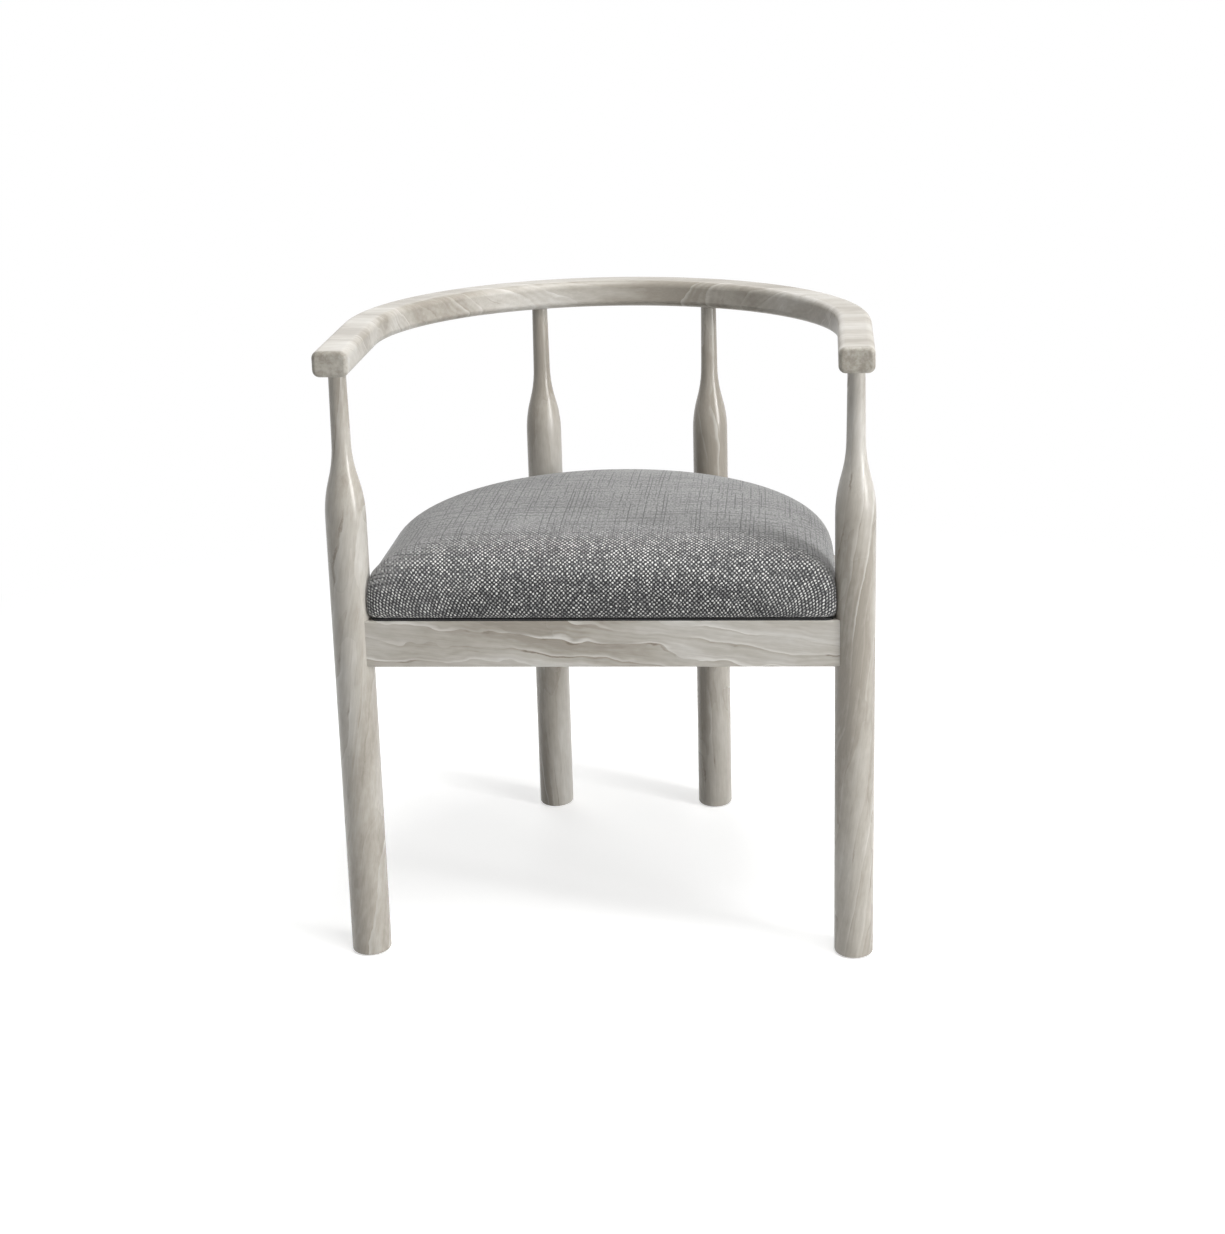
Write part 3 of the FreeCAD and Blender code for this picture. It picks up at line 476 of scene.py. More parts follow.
def basket_weave() -> bpy.types.NodeTree:
    """Plain weave of black yarn crossed by off-white yarn, whose crossings show as rows of dots.

    The vector is the cloth's own surface in metres. The product of two sines, one for each yarn
    direction, is high on every other crossing. Each crossing has its own brightness, and so has
    each stretch of yarn either way. The last input is a mask of painted sheen: where it comes near
    1 the dots give way to an even, lighter grey with thin dark threads both ways, painted as the
    weave looks in the light at a grazing view, and where it is near 0 the dots are painted a
    little darker.

    Returns:
        The node group.
    """
    group = EffectGroup("basket weave", "Across", "Along", "Nap")
    taken = group.taken
    cloth = taken["Vector"]
    nudge = group.vector("ADD", group.pulled(cloth, 210.0, 0.0029, detail=2.0),
                         group.pulled(cloth, 34.0, 0.0052, detail=1.0))
    moved = group.axes(group.vector("ADD", cloth, nudge))
    across = group.times(moved["X"], taken["Across"])
    along = group.times(moved["Y"], taken["Along"])
    wave = group.times(*(group.math("SINE", group.times(count, math.pi))
                         for count in (across, along)))
    cell = group.joined(group.math("FLOOR", across), group.math("FLOOR", along))

    dot = group.step(wave, -0.10, 0.66)
    bright = group.times(dot, group.span(group.chance(cell), 0.40, 1.0))
    lots = group.plus(group.noise(cloth, 95.0, along=0.12, axis=1),
                      group.noise(cloth, 95.0, along=0.12, axis=0))
    bright = group.times(bright, group.span(group.step(lots, 0.70, 1.30), 0.80, 1.22))
    slub = group.noise(cloth, 520.0, along=0.12, axis=1, detail=1.0)
    bright = group.plus(bright, group.step(slub, 0.50, 0.72), 0.14)
    # Painted shade: the dots are painted lighter where the sheen mask rises, so steep faces show
    # them darker.
    lifted = group.step(taken["Nap"], 0.02, 0.30)
    dotted = group.ramp(group.plus(bright, lifted, 0.075, clamp=True), DOT_TONES)

    # Painted sheen: an even, lighter grey with thin dark threads, for the level top seen at a
    # grazing angle.
    flat = group.axes(cloth)
    threads = group.math("MAXIMUM",
                         dark_threads(group, flat["X"], flat["Y"], 210.0, 9.0, 0.21),
                         dark_threads(group, flat["Y"], flat["X"], 150.0, 13.0, 0.22))
    specks = group.span(group.noise(cloth, 430.0, along=0.35, axis=1), -0.25, 1.25)
    rubbed = group.ramp(group.plus(specks, threads, -0.85, clamp=True), SHEEN_GREY_TONES)

    # The sheen mask blends the dots into the painted sheen grey.
    nap = group.step(taken["Nap"], 0.70, 1.03)
    fuzz = group.noise(cloth, 1600.0, detail=1.0)
    relief = group.times(group.math("ABSOLUTE", wave), group.span(nap, 1.0, 0.25))
    return group.give(Color=group.mix(nap, dotted, rubbed),
                      Roughness=group.span(fuzz, 0.80, 0.95),
                      Height=group.plus(relief, fuzz, 0.25))


def rubbed_film() -> bpy.types.NodeTree:
    """Uneven handling marks: a slow blotch and a fine grain, for plain finishes.

    Returns:
        The node group.
    """
    group = EffectGroup("rubbed film", "Fineness")
    place = group.taken["Vector"]
    blotch = group.step(group.noise(place, 24.0, detail=3.0), 0.3, 0.7)
    return group.give(Blotch=blotch, Grain=group.noise(place, group.taken["Fineness"]))


@dataclass(frozen=True)
class Coat:
    """What a finish gives the surface shader.

    Its relief has a depth in metres and a share of its full strength. The plain values are those
    of shader inputs that are the same all over.
    """

    colour: Socket
    roughness: Socket
    height: Socket
    depth: float
    share: float
    plain: dict[str, float] = field(default_factory=dict)


@dataclass(frozen=True)
class Finish:
    """A surface finish that becomes one material."""

    name: str

    def coat(self, graph: Graph) -> Coat:
        """Coat of the finish, which each kind of finish makes in its own way."""
        raise NotImplementedError

    def material(self) -> bpy.types.Material:
        """Build the material.

        Returns:
            The material, with the coat on one surface shader.
        """
        material = bpy.data.materials.new(self.name)
        graph = Graph.of(material)
        coat = self.coat(graph)
        bump = graph.node("Bump", {"Distance": coat.depth, "Strength": coat.share,
                                   "Height": coat.height})
        shader = graph.node("BsdfPrincipled", {
            "Base Color": coat.colour, "Roughness": coat.roughness, "Normal": bump.outputs[0],
            **coat.plain})
        graph.node("OutputMaterial", {"Surface": shader.outputs[0]})
        return material


@dataclass(frozen=True)
class LimedWood(Finish):
    """Satin limed wood whose grain runs one way through the piece."""

    grain: GrainLine
    shift: Place
    layers: float = 80.0
    wander: float = 1.0
    ripple: float = 0.4
    pale: float = 0.0
    steps: float = 1.0
    bands: float = 0.1
    veins: float = 0.6
    cracks: float = 0.5
    dull: float = 0.08
    cut_end: Optional[float] = None

    def coat(self, graph: Graph) -> Coat:
        """Coat of the limed grain's figure.

        Args:
            graph: the material's node graph.

        Returns:
            The coat.
        """
        values = {label: getattr(self, label.lower()) for label in GRAIN_VALUES}
        figure = graph.effect("limed grain", Vector=graph.grained(self.grain, self.shift), **values)
        return Coat(self.toned(graph, figure["Color"]), figure["Roughness"], figure["Height"],
                    0.2 * MM, 0.35, {"Specular IOR Level": 0.55})

    def toned(self, graph: Graph, colour: Socket) -> Socket:
        """Colour of the figure, dulled and mottled on a face that is cut across at the front.

        Args:
            graph: the material's node graph.
            colour: the figure's colour.

        Returns:
            The colour's socket.
        """
        if self.cut_end is None:
            return colour
        place = graph.where()
        end = graph.step(graph.axes(place)["Y"], self.cut_end + 5.0 * MM, self.cut_end + 1.0 * MM)
        blotch = graph.noise(place, 150.0, detail=5.0, roughness=0.7)
        pores = graph.ramp(graph.step(blotch, 0.32, 0.70), CUT_TONES)
        return graph.mix(graph.times(end, 0.85), colour, pores)


@dataclass(frozen=True)
class BareWood(Finish):
    """Unfinished sawn wood of the hidden blocks and pegs."""

    pale: Colour
    dark: Colour
    shift: Place = (0.3, 0.1, 0.2)

    def coat(self, graph: Graph) -> Coat:
        """Coat of streaks and wide rings along the grain.

        Args:
            graph: the material's node graph.

        Returns:
            The coat.
        """
        place = graph.grained(GrainLine.LEVEL, self.shift)
        streaks = graph.noise(place, 160.0, along=0.08, detail=3.0)
        rings = graph.noise(place, 34.0, along=0.10, distortion=0.6)
        both = graph.step(graph.plus(graph.times(rings, 0.6), streaks, 0.4), 0.35, 0.65)
        colour = graph.ramp(both, [(0.0, self.dark), (1.0, self.pale)])
        return Coat(colour, graph.span(streaks, 0.62, 0.82), streaks, 0.3 * MM, 0.5)


@dataclass(frozen=True)
class Plywood(Finish):
    """Board of thin layers that shows its plies on the edge."""

    ply: float = 1.5 * MM

    def coat(self, graph: Graph) -> Coat:
        """Coat of level layers, whose tone changes at each ply's height, and of streaks.

        Args:
            graph: the material's node graph.

        Returns:
            The coat.
        """
        place = graph.where()
        layer = graph.math("FRACT", graph.times(graph.axes(place)["Z"], 0.5 / self.ply))
        streaks = graph.noise(place, 120.0, along=0.1, detail=3.0)
        both = graph.plus(graph.times(graph.step(layer, 0.4, 0.6), 0.5), streaks, 0.5)
        return Coat(graph.ramp(both, PLY_TONES), graph.span(streaks, 0.6, 0.8), streaks,
                    0.2 * MM, 0.5)


@dataclass(frozen=True)
class WovenCover(Finish):
    """Black and white basket weave, on the cloth's own coordinates, in yarns for each metre."""

    across: float = 385.0
    along: float = 375.0

    def coat(self, graph: Graph) -> Coat:
        """Coat of the basket weave, with the soft sheen of cloth.

        Args:
            graph: the material's node graph.

        Returns:
            The coat.
        """
        cloth = graph.node("UVMap", uv_map="cloth").outputs["UV"]
        # Mask of painted sheen, which the seat's pad carries as a point attribute.
        nap = graph.node("Attribute", attribute_name="nap").outputs["Fac"]
        weave = graph.effect("basket weave", Vector=cloth, Across=self.across, Along=self.along,
                             Nap=nap)
        plain = {"Specular IOR Level": 0.25, "Sheen Weight": 0.35, "Sheen Roughness": 0.45}
        return Coat(weave["Color"], weave["Roughness"], weave["Height"], 0.5 * MM, 0.6, plain)


@dataclass(frozen=True)
class PlainFinish(Finish):
    """Plain finish whose tone and roughness each follow one mark of handling."""

    fineness: float
    tones: Stops
    rough: tuple[float, float]
    depth: float
    share: float
    metallic: float = 0.0
    toned_by: Mark = Mark.BLOTCH
    dulled_by: Mark = Mark.GRAIN

    def coat(self, graph: Graph) -> Coat:
        """Coat of the rubbed film's marks.

        Args:
            graph: the material's node graph.

        Returns:
            The coat.
        """
        film = graph.effect("rubbed film", Vector=graph.where(), Fineness=self.fineness)
        return Coat(graph.ramp(film[self.toned_by.value], self.tones),
                    graph.span(film[self.dulled_by.value], *self.rough),
                    film[Mark.GRAIN.value], self.depth, self.share, {"Metallic": self.metallic})


# Thin black cambric with a felted surface, screws with a little spangle, and dark nylon, scuffed
# where it meets the floor.
DUST_CLOTH = PlainFinish(
    "dust_cloth_black", 900.0, ((0.3, (0.010, 0.010, 0.010)), (0.7, (0.026, 0.026, 0.027))),
    (0.85, 0.95), 0.3 * MM, 0.6, toned_by=Mark.GRAIN, dulled_by=Mark.BLOTCH)
ZINC_STEEL = PlainFinish(
    "zinc_steel", 1500.0, ((0.2, (0.46, 0.46, 0.44)), (0.8, (0.62, 0.62, 0.60))),
    (0.28, 0.48), 0.05 * MM, 0.3, metallic=1.0)
GLIDE_NYLON = PlainFinish(
    "glide_nylon_moulded", 1100.0, ((0.1, (0.10, 0.095, 0.09)), (0.9, (0.17, 0.16, 0.15))),
    (0.45, 0.70), 0.1 * MM, 0.4)


def at_corners(part: str) -> list[str]:
    """Names of the four pieces of a part that each corner of the chair has."""
    return [f"{row}_{side.word}_{part}" for row in ("front", "rear") for side in Side]


def dress(finish: Finish, *nodes: str) -> None:
    """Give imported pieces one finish, in every material slot.

    Args:
        finish: the finish, whose material is made here.
        nodes: the pieces' names.
    """
    material = finish.material()
    for node in nodes:
        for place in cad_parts[node].material_slots:
            place.material = material
        log.info("dressed %s in %s", node, material.name)


@dataclass
class Woodwork:
    """Posts, horseshoe rail and seat frame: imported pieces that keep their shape."""

    def posts(self) -> None:
        """Dress the four turned posts, each cut from its own length of wood."""
        cuts = (
            (GrainLine.LEANING, (2.1, 0.30, 0.08), 0.07),
            (GrainLine.LEANING, (5.6, 0.32, -0.14), -0.22),
            (GrainLine.UPRIGHT, (5.3, -0.18, 0.32), -0.25),
            (GrainLine.UPRIGHT, (5.9, -0.17, -0.21), -0.14),
        )
        for leg, post, (grain, shift, pale) in zip(at_corners("leg"), at_corners("post"), cuts):
            dress(LimedWood(f"limed_wood_{post}", grain, shift, layers=70.0, wander=1.3, pale=pale,
                            steps=0.7, bands=0.06, veins=0.38, cracks=0.6, dull=0.05), leg)

    def horseshoe(self) -> None:
        """Dress the three rail segments, matched as if cut from one board across the chair."""
        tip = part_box("left_arm_rail")[0].y
        wood = LimedWood("limed_wood_horseshoe", GrainLine.LEVEL, (2.3, 0.60, -0.15), layers=60.0,
                         wander=1.2, pale=-0.16, steps=0.45, bands=0.12, veins=0.35, cracks=0.3,
                         dull=0.16, cut_end=tip)
        dress(wood, "left_arm_rail", "back_rail", "right_arm_rail")

    def seat_frame(self) -> None:
        """Dress the seat rails and the blocks, pegs and screws that join them."""
        front = LimedWood("limed_wood_front_rail", GrainLine.SLOPED, (6.4, 0.32, -0.61),
                          layers=62.0, wander=1.2, ripple=1.4, pale=-0.24, steps=0.9, veins=0.75,
                          cracks=0.85)
        curved = LimedWood("limed_wood_curved_rails", GrainLine.LEVEL, (0.5, 0.0, 0.3))
        blocks = BareWood("block_wood_sawn", (0.60, 0.50, 0.36), (0.44, 0.34, 0.22))
        pegs = BareWood("dowel_wood_bare", (0.62, 0.48, 0.32), (0.46, 0.33, 0.20))
        dress(front, "front_seat_rail")
        dress(curved, "left_seat_rail", "right_seat_rail", "rear_seat_rail")
        dress(blocks, *at_corners("corner_block"))
        dress(pegs, "rail_joint_dowels")
        dress(ZINC_STEEL, "corner_block_screws", "seat_screws")

    def build(self) -> None:
        """Dress everything of wood, what joins it and the glides under it."""
        self.posts()
        self.horseshoe()
        self.seat_frame()
        dress(GLIDE_NYLON, *at_corners("glide"))


@dataclass
class SlipSeat:
    """The upholstered seat: a crowned, D-shaped pad with a rolled lower edge.

    Its plan is a half circle at the back, straight sides and a straight front with rounded corners.
    Rings of that plan, shrunk about the crown's centre by a share k, stand at a share s of the
    crown's height, where k and s lie on a superellipse. Below the widest ring a quarter ellipse
    rolls in to the flat underside.
    """

    corner_radius: float = 11.0 * MM
    corner_flare: float = 4.0 * MM
    flare_reach: float = 14.0 * MM
    flare_power: int = 8
    crown_from_front: float = 202.3 * MM
    roll_height: float = 12.0 * MM
    roll_inset: float = 7.0 * MM
    crown_power: float = 3.8
    cells: int = 72
    roll_share: float = 0.08
    crown_table: int = 400
    roll_table: int = 60
    slack: float = 0.4 * MM
    post_gap: float = 0.7 * MM
    board_edge: float = 2.0 * MM
    cap: float = 4.0 * MM
    pressure: float = 8.0
    foam_hold: float = 0.2
    frames: int = 20
    # Fields from here down shape the mask of painted sheen on the cover.
    steep: float = 75.0
    side_tilt_share: float = 0.12
    ahead_power: int = 3
    edge_from: float = 0.45
    edge_fade: float = 0.50
    left_edge_sheen: float = 0.92
    right_edge_sheen: float = 0.65
    low_tilt: float = 32.0
    dotted_top: float = 0.56
    dotted_fade: float = 0.50

    def __post_init__(self) -> None:
        """Read the seat's box and the posts' places from the frame."""
        low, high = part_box("seat_cover")
        self.half_width = high.x
        self.arc_y = high.y - high.x
        self.front_y = low.y
        self.crown_y = low.y + self.crown_from_front
        self.low = low.z
        self.wide = low.z + self.roll_height
        self.crown = high.z - self.wide
        self.posts = []
        for side in Side:
            corner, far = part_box(f"front_{side.word}_leg")
            self.posts.append(((corner.x + far.x) / 2, (corner.y + far.y) / 2))
        self.post_radius = (far.x - corner.x) / 2

    def outline(self, along: np.ndarray, inset: float) -> np.ndarray:
        """Points of the plan, drawn in by an inset, at shares of its length.

        The length runs from the middle of the front, to the right, round the back and home. Each
        stretch is a line or an arc: front half, corner, side, back half circle, and their mirror.
        Towards the front corners the plan flares out by a bell curve of the way to the front.

        Args:
            along: shares of the whole length, any shape.
            inset: how far the plan is drawn in.

        Returns:
            X and Y of each point, in a last axis of two.
        """
        half = self.half_width - inset
        corner = self.corner_radius
        flat = half - corner
        side = self.arc_y - self.front_y - inset - corner
        ends = np.cumsum([flat, corner * QUARTER, side, half * QUARTER])
        folded = np.where(along > 0.5, 1.0 - along, along)
        mirrored = np.where(along > 0.5, -1.0, 1.0)
        run = folded * 2.0 * ends[-1]
        turn = np.clip((run - ends[0]) / corner, 0.0, QUARTER)
        climb = np.clip(run - ends[1], 0.0, side)
        sweep = np.clip((run - ends[2]) / half, 0.0, QUARTER)
        x = np.clip(run, 0.0, flat) + corner * np.sin(turn) - half * (1.0 - np.cos(sweep))
        y = self.front_y + inset + corner * (1.0 - np.cos(turn)) + climb + half * np.sin(sweep)
        ahead = (y - self.front_y) / self.flare_reach
        grown = (run / ends[0]).clip(0.0, 1.0) ** self.flare_power
        x += self.corner_flare * np.exp(-ahead ** 2) * grown
        return np.stack([x * mirrored, y], axis=-1)

    def corner_shares(self) -> tuple[float, float]:
        """Shares of the outline's length at two places.

        Returns:
            The share at the front corner's middle, and half way round one side of the back.
        """
        flat = self.half_width - self.corner_radius
        side = self.arc_y - self.front_y - self.corner_radius
        quarter = self.half_width * QUARTER
        round_corner = self.corner_radius * QUARTER
        whole = 2.0 * (flat + round_corner + side + quarter)
        return (flat + round_corner / 2) / whole, (flat + round_corner + side + quarter / 2) / whole

    def square(self) -> tuple[np.ndarray, np.ndarray]:
        """Ring and place round it of each point of a square grid laid over the plan.

        A grid point at (a, b) lies on ring max(|a|, |b|). Its place on the square's rim maps to a
        share of the outline's length, side by side, so that the square's corners fall on the
        plan's front corners and half way round each side of its back.

        Returns:
            Ring from 0 at the middle to 1 at the rim, and share of the outline's length.
        """
        steps = np.linspace(-1.0, 1.0, self.cells + 1)
        a, b = np.meshgrid(steps, steps, indexing="ij")
        ring = np.maximum(np.abs(a), np.abs(b))
        safe = np.where(ring > 0.0, ring, 1.0)
        u = a / safe
        v = b / safe
        front, back = self.corner_shares()
        right = front + (back - front) * (v + 1.0) / 2
        share = np.where(u > 0.0, right, 1.0 - right)
        share = np.where(v <= -1.0 + TINY, (front * u) % 1.0, share)
        share = np.where(v >= 1.0 - TINY, 0.5 - (0.5 - back) * u, share)
        return ring, share

    def profile(self, ring: np.ndarray) -> tuple[np.ndarray, np.ndarray, np.ndarray]:
        """Spread, height and inset of each ring from the apex to the flat underside.

        Rings are spaced evenly along the superellipse, which is tabled finely and read back by
        its running length. The outer share of the rings turns down the quarter ellipse.

        Args:
            ring: 0 at the apex, 1 at the foot of the roll.

        Returns:
            Share of the plan's size, height in metres and inset in metres.
        """
        quarter = np.linspace(0.0, QUARTER, self.crown_table)
        spread = np.sin(quarter) ** (2.0 / self.crown_power)
        rise = np.cos(quarter) ** (2.0 / self.crown_power)
        length = running(np.diff(spread) * self.crown_from_front, np.diff(rise) * self.crown)
        top = 1.0 - self.roll_share
        run = np.clip(ring / top, 0.0, 1.0) * length[-1]
        turn = np.clip((ring - top) / self.roll_share, 0.0, 1.0) * QUARTER
        height = self.wide + self.crown * np.interp(run, length, rise)
        height -= self.roll_height * np.sin(turn)
        return np.interp(run, length, spread), height, self.roll_inset * (1.0 - np.cos(turn))

    def cloth_points(self) -> np.ndarray:
        """Top and underside of the pad as two square grids of points that share their rim.

        The sides and the crown start inside the finished shape by the slack.

        Returns:
            Points in an array of 2, cells + 1, cells + 1 and 3.
        """
        ring, share = self.square()
        spread, height, inset = self.profile(ring)
        outer = self.outline(share, 0.0)
        inner = self.outline(share, self.roll_inset)
        plan = outer + (inner - outer) * (inset / self.roll_inset)[..., None]
        centre = np.array([0.0, self.crown_y])
        shrunk = 1.0 - self.slack / self.half_width
        height = height - self.slack * (height - self.low) / self.crown
        top = np.concatenate([centre + (plan - centre) * (spread * shrunk)[..., None],
                              height[..., None]], axis=-1)
        rim = centre + (inner - centre) * shrunk
        flat = centre + (rim - centre) * ring[..., None]
        under = np.concatenate([flat, np.full(ring.shape + (1,), self.low)], axis=-1)
        return np.stack([top, under])

    def clear_posts(self, points: np.ndarray) -> np.ndarray:
        """Push points out of the two front posts, straight away from each post's axis.

        Args:
            points: places in rows of three.

        Returns:
            The cleared places.
        """
        cleared = points.copy()
        reach = self.post_radius + self.post_gap
        for post in self.posts:
            offset = cleared[:, :2] - post
            distance = np.hypot(offset[:, 0], offset[:, 1])
            near = distance < reach
            cleared[near, :2] += offset[near] * (reach / distance[near] - 1.0)[:, None]
        return cleared

    def pad_mesh(self) -> bpy.types.Mesh:
        """Closed quad mesh of the pad at its starting size.

        Returns:
            The mesh, whose two grids share the points of their rim.
        """
        side = self.cells + 1
        index = np.arange(2 * side * side).reshape(2, side, side)
        rim = np.ones((side, side), bool)
        rim[1:-1, 1:-1] = False
        index[1][rim] = index[0][rim]
        faces = []
        for grid, order in zip(index, (1, -1)):
            corners = (grid[:-1, :-1], grid[1:, :-1], grid[1:, 1:], grid[:-1, 1:])
            faces.append(np.stack(corners, axis=-1).reshape(-1, 4)[:, ::order])
        used, packed = np.unique(np.concatenate(faces), return_inverse=True)
        points = self.clear_posts(self.cloth_points().reshape(-1, 3)[used])
        mesh = bpy.data.meshes.new("seat_cover_cloth")
        mesh.from_pydata(points.tolist(), [], packed.reshape(-1, 4).tolist())
        mesh.update()
        return mesh

    def simulate(self, piece: bpy.types.Object) -> None:
        """Blow the cover up from inside like cloth over foam, then cap how far a point has moved.

        The underside and the foot of the roll are pinned to the board, and the foam holds the
        rest softly, as weak springs to where it starts.

        Args:
            piece: the pad, whose points are moved to the result.
        """
        start = points_of(piece.data)
        pinned = piece.vertex_groups.new(name="board")
        on_board = start[:, 2] < self.low + self.board_edge
        pinned.add(np.flatnonzero(on_board).tolist(), 1.0, "REPLACE")
        pinned.add(np.flatnonzero(~on_board).tolist(), self.foam_hold, "REPLACE")
        cloth = piece.modifiers.new("cloth", "CLOTH")
        for name, value in COVER_CLOTH.items():
            setattr(cloth.settings, name, value)
        cloth.settings.uniform_pressure_force = self.pressure
        cloth.settings.vertex_group_mass = pinned.name
        cloth.settings.effector_weights.gravity = 0.0
        cloth.collision_settings.use_collision = False
        scene = bpy.context.scene
        for number in range(1, self.frames + 1):
            scene.frame_set(number)
        depsgraph = bpy.context.evaluated_depsgraph_get()
        moved = points_of(piece.evaluated_get(depsgraph).data) - start
        piece.modifiers.remove(cloth)
        scene.frame_set(1)
        distance = np.maximum(np.linalg.norm(moved, axis=1), TINY)
        capped = np.minimum(distance, self.cap) / distance
        put_points(piece.data, start + moved * capped[:, None])
        log.info("cloth moved by %.1f mm at most, %.1f mm on average",
                 distance.max() / MM, distance.mean() / MM)

    def smooth(self, piece: bpy.types.Object) -> None:
        """Subdivide the pad once, for good, and clear the posts again.

        Args:
            piece: the pad, whose mesh is replaced by the result.
        """
        divide = piece.modifiers.new("round", "SUBSURF")
        divide.levels = 1
        divide.render_levels = 1
        depsgraph = bpy.context.evaluated_depsgraph_get()
        mesh = bpy.data.meshes.new_from_object(piece.evaluated_get(depsgraph))
        piece.modifiers.remove(divide)
        piece.data = mesh
        points = self.clear_posts(points_of(mesh))
        points[:, 2] = np.maximum(points[:, 2], self.low)
        put_points(mesh, points)
        mesh.shade_smooth()

    def paint_sheen_mask(self, mesh: bpy.types.Mesh) -> None:
        """Attribute that falls from 1 where the cloth lies level to 0 where it is steep.

        The mask paints sheen: where it nears 1 the cover is painted an even, lighter grey, as the
        level top looks in the light at a grazing view, and where it nears 0 the dots are painted
        darker.
        The tilt counts whole towards the front and by a lesser share towards the sides and back,
        with the cube of its direction's part to the front, and less towards either edge, most at
        the left. Low down on every side it is at least a limit that fades out up the crown.

        Args:
            mesh: the pad's mesh, which takes the attribute.
        """
        normals = values_of(mesh.vertex_normals, "vector", 3)
        tilt = np.degrees(np.arccos(np.clip(normals[:, 2], -1.0, 1.0)))
        ahead = -normals[:, 1] / np.maximum(np.hypot(normals[:, 0], normals[:, 1]), TINY)
        x, _, z = points_of(mesh).T
        edge = (np.abs(x) / self.half_width - self.edge_from) / self.edge_fade
        edge = np.clip(edge, 0.0, 1.0) * np.where(x < 0.0, self.left_edge_sheen, self.right_edge_sheen)
        counted = np.clip(ahead, 0.0, 1.0) ** self.ahead_power
        counted = (self.side_tilt_share + (1.0 - self.side_tilt_share) * counted) * (1.0 - edge)
        low = np.clip((self.dotted_top - (z - self.wide) / self.crown) / self.dotted_fade, 0.0, 1.0)
        tilt = np.maximum(tilt * counted, np.minimum(tilt, self.low_tilt) * low)
        nap = mesh.attributes.new("nap", "FLOAT", "POINT")
        nap.data.foreach_set("value", np.clip(1.0 - tilt / self.steep, 0.0, 1.0).astype(np.float32))

    def lay_cloth(self, mesh: bpy.types.Mesh) -> None:
        """Cloth coordinates in metres, as a UV map.

        A point keeps its plan place, moved outwards by the length that the cloth has used up going
        down the crown and then round the roll, which is drawn in again below. It moves along the
        normal of a rounded square, so the rows stay level on the front.

        Args:
            mesh: the pad's mesh, which takes the map.
        """
        points = points_of(mesh)
        drop = np.clip((points[:, 2] - self.wide) / self.crown, 0.0, 1.0)
        table = np.linspace(0.0, 1.0, self.crown_table)
        spread = (1.0 - table ** self.crown_power) ** (1.0 / self.crown_power)
        length = running((np.diff(spread) * self.crown_from_front)[::-1],
                         (np.diff(table) * self.crown)[::-1])[::-1]
        extra = np.interp(drop, table, length - spread * self.crown_from_front)
        turn = np.linspace(0.0, QUARTER, self.roll_table)
        drawn_in = self.roll_inset * (1.0 - np.cos(turn))
        used = running(np.diff(self.roll_height * np.sin(turn)), np.diff(drawn_in)) + drawn_in
        extra += np.interp((self.wide - points[:, 2]) / self.roll_height, np.sin(turn), used)
        x = points[:, 0] / self.half_width
        y = (points[:, 1] - self.crown_y) / self.crown_from_front
        outward = np.stack([x ** 3, y ** 3], axis=1)
        outward /= np.maximum(np.linalg.norm(outward, axis=1), TINY)[:, None]
        cloth = points[:, :2] + outward * extra[:, None]
        corners = values_of(mesh.loops, "vertex_index", 1, np.int32)[:, 0]
        layer = mesh.uv_layers.new(name="cloth")
        layer.data.foreach_set("uv", cloth[corners].astype(np.float32).ravel())

    def build(self) -> None:
        """Make the upholstered cover and dress what lies under it."""
        piece = placed("seat_cover_upholstered", self.pad_mesh())
        self.simulate(piece)
        self.smooth(piece)
        self.lay_cloth(piece.data)
        self.paint_sheen_mask(piece.data)
        piece.data.materials.append(WovenCover("woven_cover_black_white").material())
        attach(piece, BODY)
        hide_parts("seat_cover", "seat_foam")
        log.info("made %s with %d faces", piece.name, len(piece.data.polygons))
        dress(Plywood("plywood_board"), "seat_board")
        dress(DUST_CLOTH, "seat_dust_cover")


def placed(name: str, data: bpy.types.ID) -> bpy.types.Object:
    """New object in the scene.

    Args:
        name: the object's name.
        data: its mesh, lamp or camera.

    Returns:
        The object.
    """
    made = bpy.data.objects.new(name, data)
    bpy.context.scene.collection.objects.link(made)
    return made


def running(*steps: np.ndarray) -> np.ndarray:
    """Length along a curve from its start, from its steps along two axes."""
    return np.concatenate([[0.0], np.cumsum(np.hypot(*steps))])


def values_of(
    elements: Sequence[bpy.types.bpy_struct], name: str, width: int, kind: type = np.float32,
) -> np.ndarray:
    """Values of one property over a mesh's elements.

    Args:
        elements: the mesh's vertices, normals or loops.
        name: the property.
        width: how many numbers each element has.
        kind: type of the numbers.

    Returns:
        One row for each element.
    """
    flat = np.zeros(len(elements) * width, kind)
    elements.foreach_get(name, flat)
    return flat.reshape(-1, width)


def points_of(mesh: bpy.types.Mesh) -> np.ndarray:
    """Vertex places of a mesh, one row each."""
    return values_of(mesh.vertices, "co", 3).astype(float)


def put_points(mesh: bpy.types.Mesh, points: np.ndarray) -> None:
    """Move a mesh's vertices to new places."""
    mesh.vertices.foreach_set("co", points.astype(np.float32).ravel())
    mesh.update()


@dataclass(frozen=True)
class Lamp:
    """One soft lamp of the studio."""

    name: str
    place: Place
    aim: Place
    width: float
    height: float
    watts: float

    def build(self) -> None:
        """Hang the lamp and turn it to its aim."""
        data = bpy.data.lights.new(self.name, "AREA")
        data.shape = "RECTANGLE"
        data.size = self.width
        data.size_y = self.height
        data.energy = self.watts
        lamp = placed(self.name, data)
        lamp.location = self.place
        sight = Vector(self.aim) - Vector(self.place)
        lamp.rotation_euler = sight.to_track_quat("-Z", "Y").to_euler()


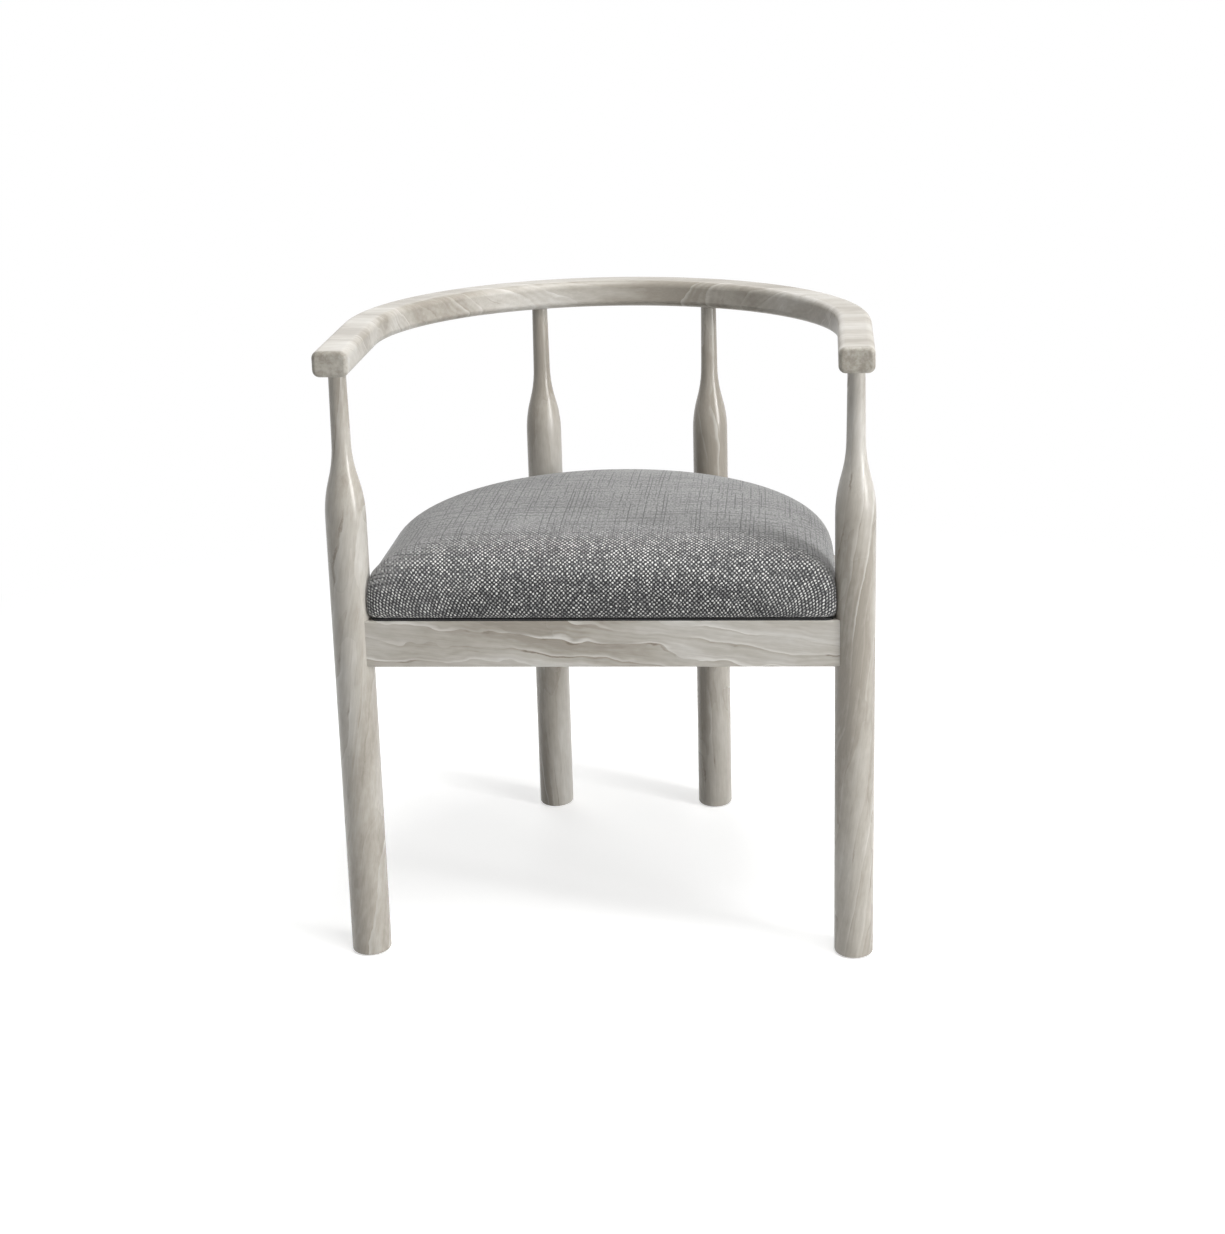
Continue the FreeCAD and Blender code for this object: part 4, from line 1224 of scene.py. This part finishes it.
@dataclass
class Studio:
    """Floor, lamps, background and camera."""

    image_height: int = 1234
    sensor: float = 36.0
    focal_pixels: float = 1886.41
    camera_place: Place = (0.19404, -2.23145, 1.09750)
    yaw: float = 0.0472
    pitch: float = 0.2418
    roll: float = 0.0171
    shift_x: float = -0.06
    shift_y: float = -0.13
    floor_half: float = 20.0
    floor_paint: Colour = (0.80, 0.80, 0.795)
    floor_lift: float = 0.56
    floor_fade: tuple[float, float] = (0.7, 1.7)
    ambient: float = 0.195
    ambient_tint: Colour = (1.0, 0.995, 0.985)
    seat: Place = (0.0, 0.0, 0.45)
    middle: Place = (0.0, 0.0, 0.6)

    def camera(self) -> None:
        """Camera at the photo's angle.

        Yaw turns it to the left, pitch tips it down and roll turns it about its own line of sight.
        """
        ahead = Vector((-math.sin(self.yaw), math.cos(self.yaw), 0.0))
        up = Vector((0.0, 0.0, 1.0))
        beside = Vector((math.cos(self.yaw), math.sin(self.yaw), 0.0))
        sight = ahead * math.cos(self.pitch) - up * math.sin(self.pitch)
        down = -(up * math.cos(self.pitch) + ahead * math.sin(self.pitch))
        right = beside * math.cos(self.roll) + down * math.sin(self.roll)
        below = -beside * math.sin(self.roll) + down * math.cos(self.roll)
        data = bpy.data.cameras.new("photo_camera")
        data.sensor_fit = "VERTICAL"
        data.sensor_height = self.sensor
        data.lens = self.focal_pixels / self.image_height * self.sensor
        data.shift_x = self.shift_x
        data.shift_y = self.shift_y
        camera = placed("photo_camera", data)
        turn = Matrix((right, -below, -sight)).transposed().to_4x4()
        camera.matrix_world = Matrix.Translation(self.camera_place) @ turn
        bpy.context.scene.camera = camera

    def seen_rays(self, graph: Graph) -> Socket:
        """Mask that is 1 for rays from the camera and for mirrored and bent ones.

        Args:
            graph: the node graph that it is added to.

        Returns:
            Socket of the mask.
        """
        path = graph.node("LightPath").outputs
        first = graph.math("MAXIMUM", path["Is Camera Ray"], path["Is Glossy Ray"])
        return graph.math("MAXIMUM", first, path["Is Transmission Ray"])

    def background(self) -> None:
        """White to the eye, and an even, slightly warm grey light on the chair."""
        world = bpy.data.worlds.new("studio")
        graph = Graph.of(world)
        grey = graph.node("Background", {"Color": self.ambient_tint, "Strength": self.ambient})
        white = graph.node("Background", {"Color": (1.0, 1.0, 1.0)})
        blend = graph.node("MixShader", (self.seen_rays(graph), grey.outputs[0], white.outputs[0]))
        graph.node("OutputWorld", {"Surface": blend.outputs[0]})
        bpy.context.scene.world = world

    def floor(self) -> None:
        """Pale floor that takes the chair's shadow and runs out into the white background.

        Its paint is lifted by a glow that only the eye sees, and with the distance from the chair
        it fades to plain white, again for the eye alone.
        """
        half = self.floor_half
        mesh = bpy.data.meshes.new("studio_floor")
        mesh.from_pydata(
            [(-half, -half, 0.0), (half, -half, 0.0), (half, half, 0.0), (-half, half, 0.0)],
            [], [(0, 1, 2, 3)])
        floor = placed("studio_floor", mesh)
        material = bpy.data.materials.new("studio_floor_pale")
        graph = Graph.of(material)
        seen = self.seen_rays(graph)
        far = graph.step(graph.vector("LENGTH", graph.where()), *self.floor_fade)
        paint = graph.node("BsdfDiffuse", {"Color": self.floor_paint})
        lift = graph.node("Emission", {"Strength": graph.times(seen, self.floor_lift)})
        near = graph.node("AddShader", (paint.outputs[0], lift.outputs[0]))
        white = graph.node("Emission")
        blend = graph.node("MixShader", (graph.times(seen, far), near.outputs[0], white.outputs[0]))
        graph.node("OutputMaterial", {"Surface": blend.outputs[0]})
        mesh.materials.append(material)

    def lamps(self) -> None:
        """Broad lamp above, a softbox and a strip at the right, and a lamp behind."""
        for lamp in (
            Lamp("key_above", (0.6, -0.6, 2.8), self.seat, 1.6, 1.6, 60.0),
            Lamp("softbox_right", (5.75, -3.375, 1.725), self.middle, 1.75, 4.5, 237.0),
            Lamp("strip_right", (3.9, -1.65, 0.66), self.middle, 0.33, 3.3, 74.0),
            Lamp("back_above", (-0.9, 2.2, 2.4), self.seat, 1.8, 1.2, 19.0),
        ):
            lamp.build()

    def build(self) -> None:
        """Set the stage and the view."""
        self.floor()
        self.background()
        self.lamps()
        self.camera()
        bpy.context.scene.view_settings.view_transform = "Standard"
        log.info("studio is set")


def main() -> None:
    """Build the effects, then each sub-assembly in order, then the studio."""
    logging.basicConfig(level=logging.INFO, format="%(message)s")
    for effect in (limed_grain, basket_weave, rubbed_film):
        log.info("effect %s", effect().name)
    Woodwork().build()
    SlipSeat().build()
    Studio().build()


if __name__ == "__main__":
    main()
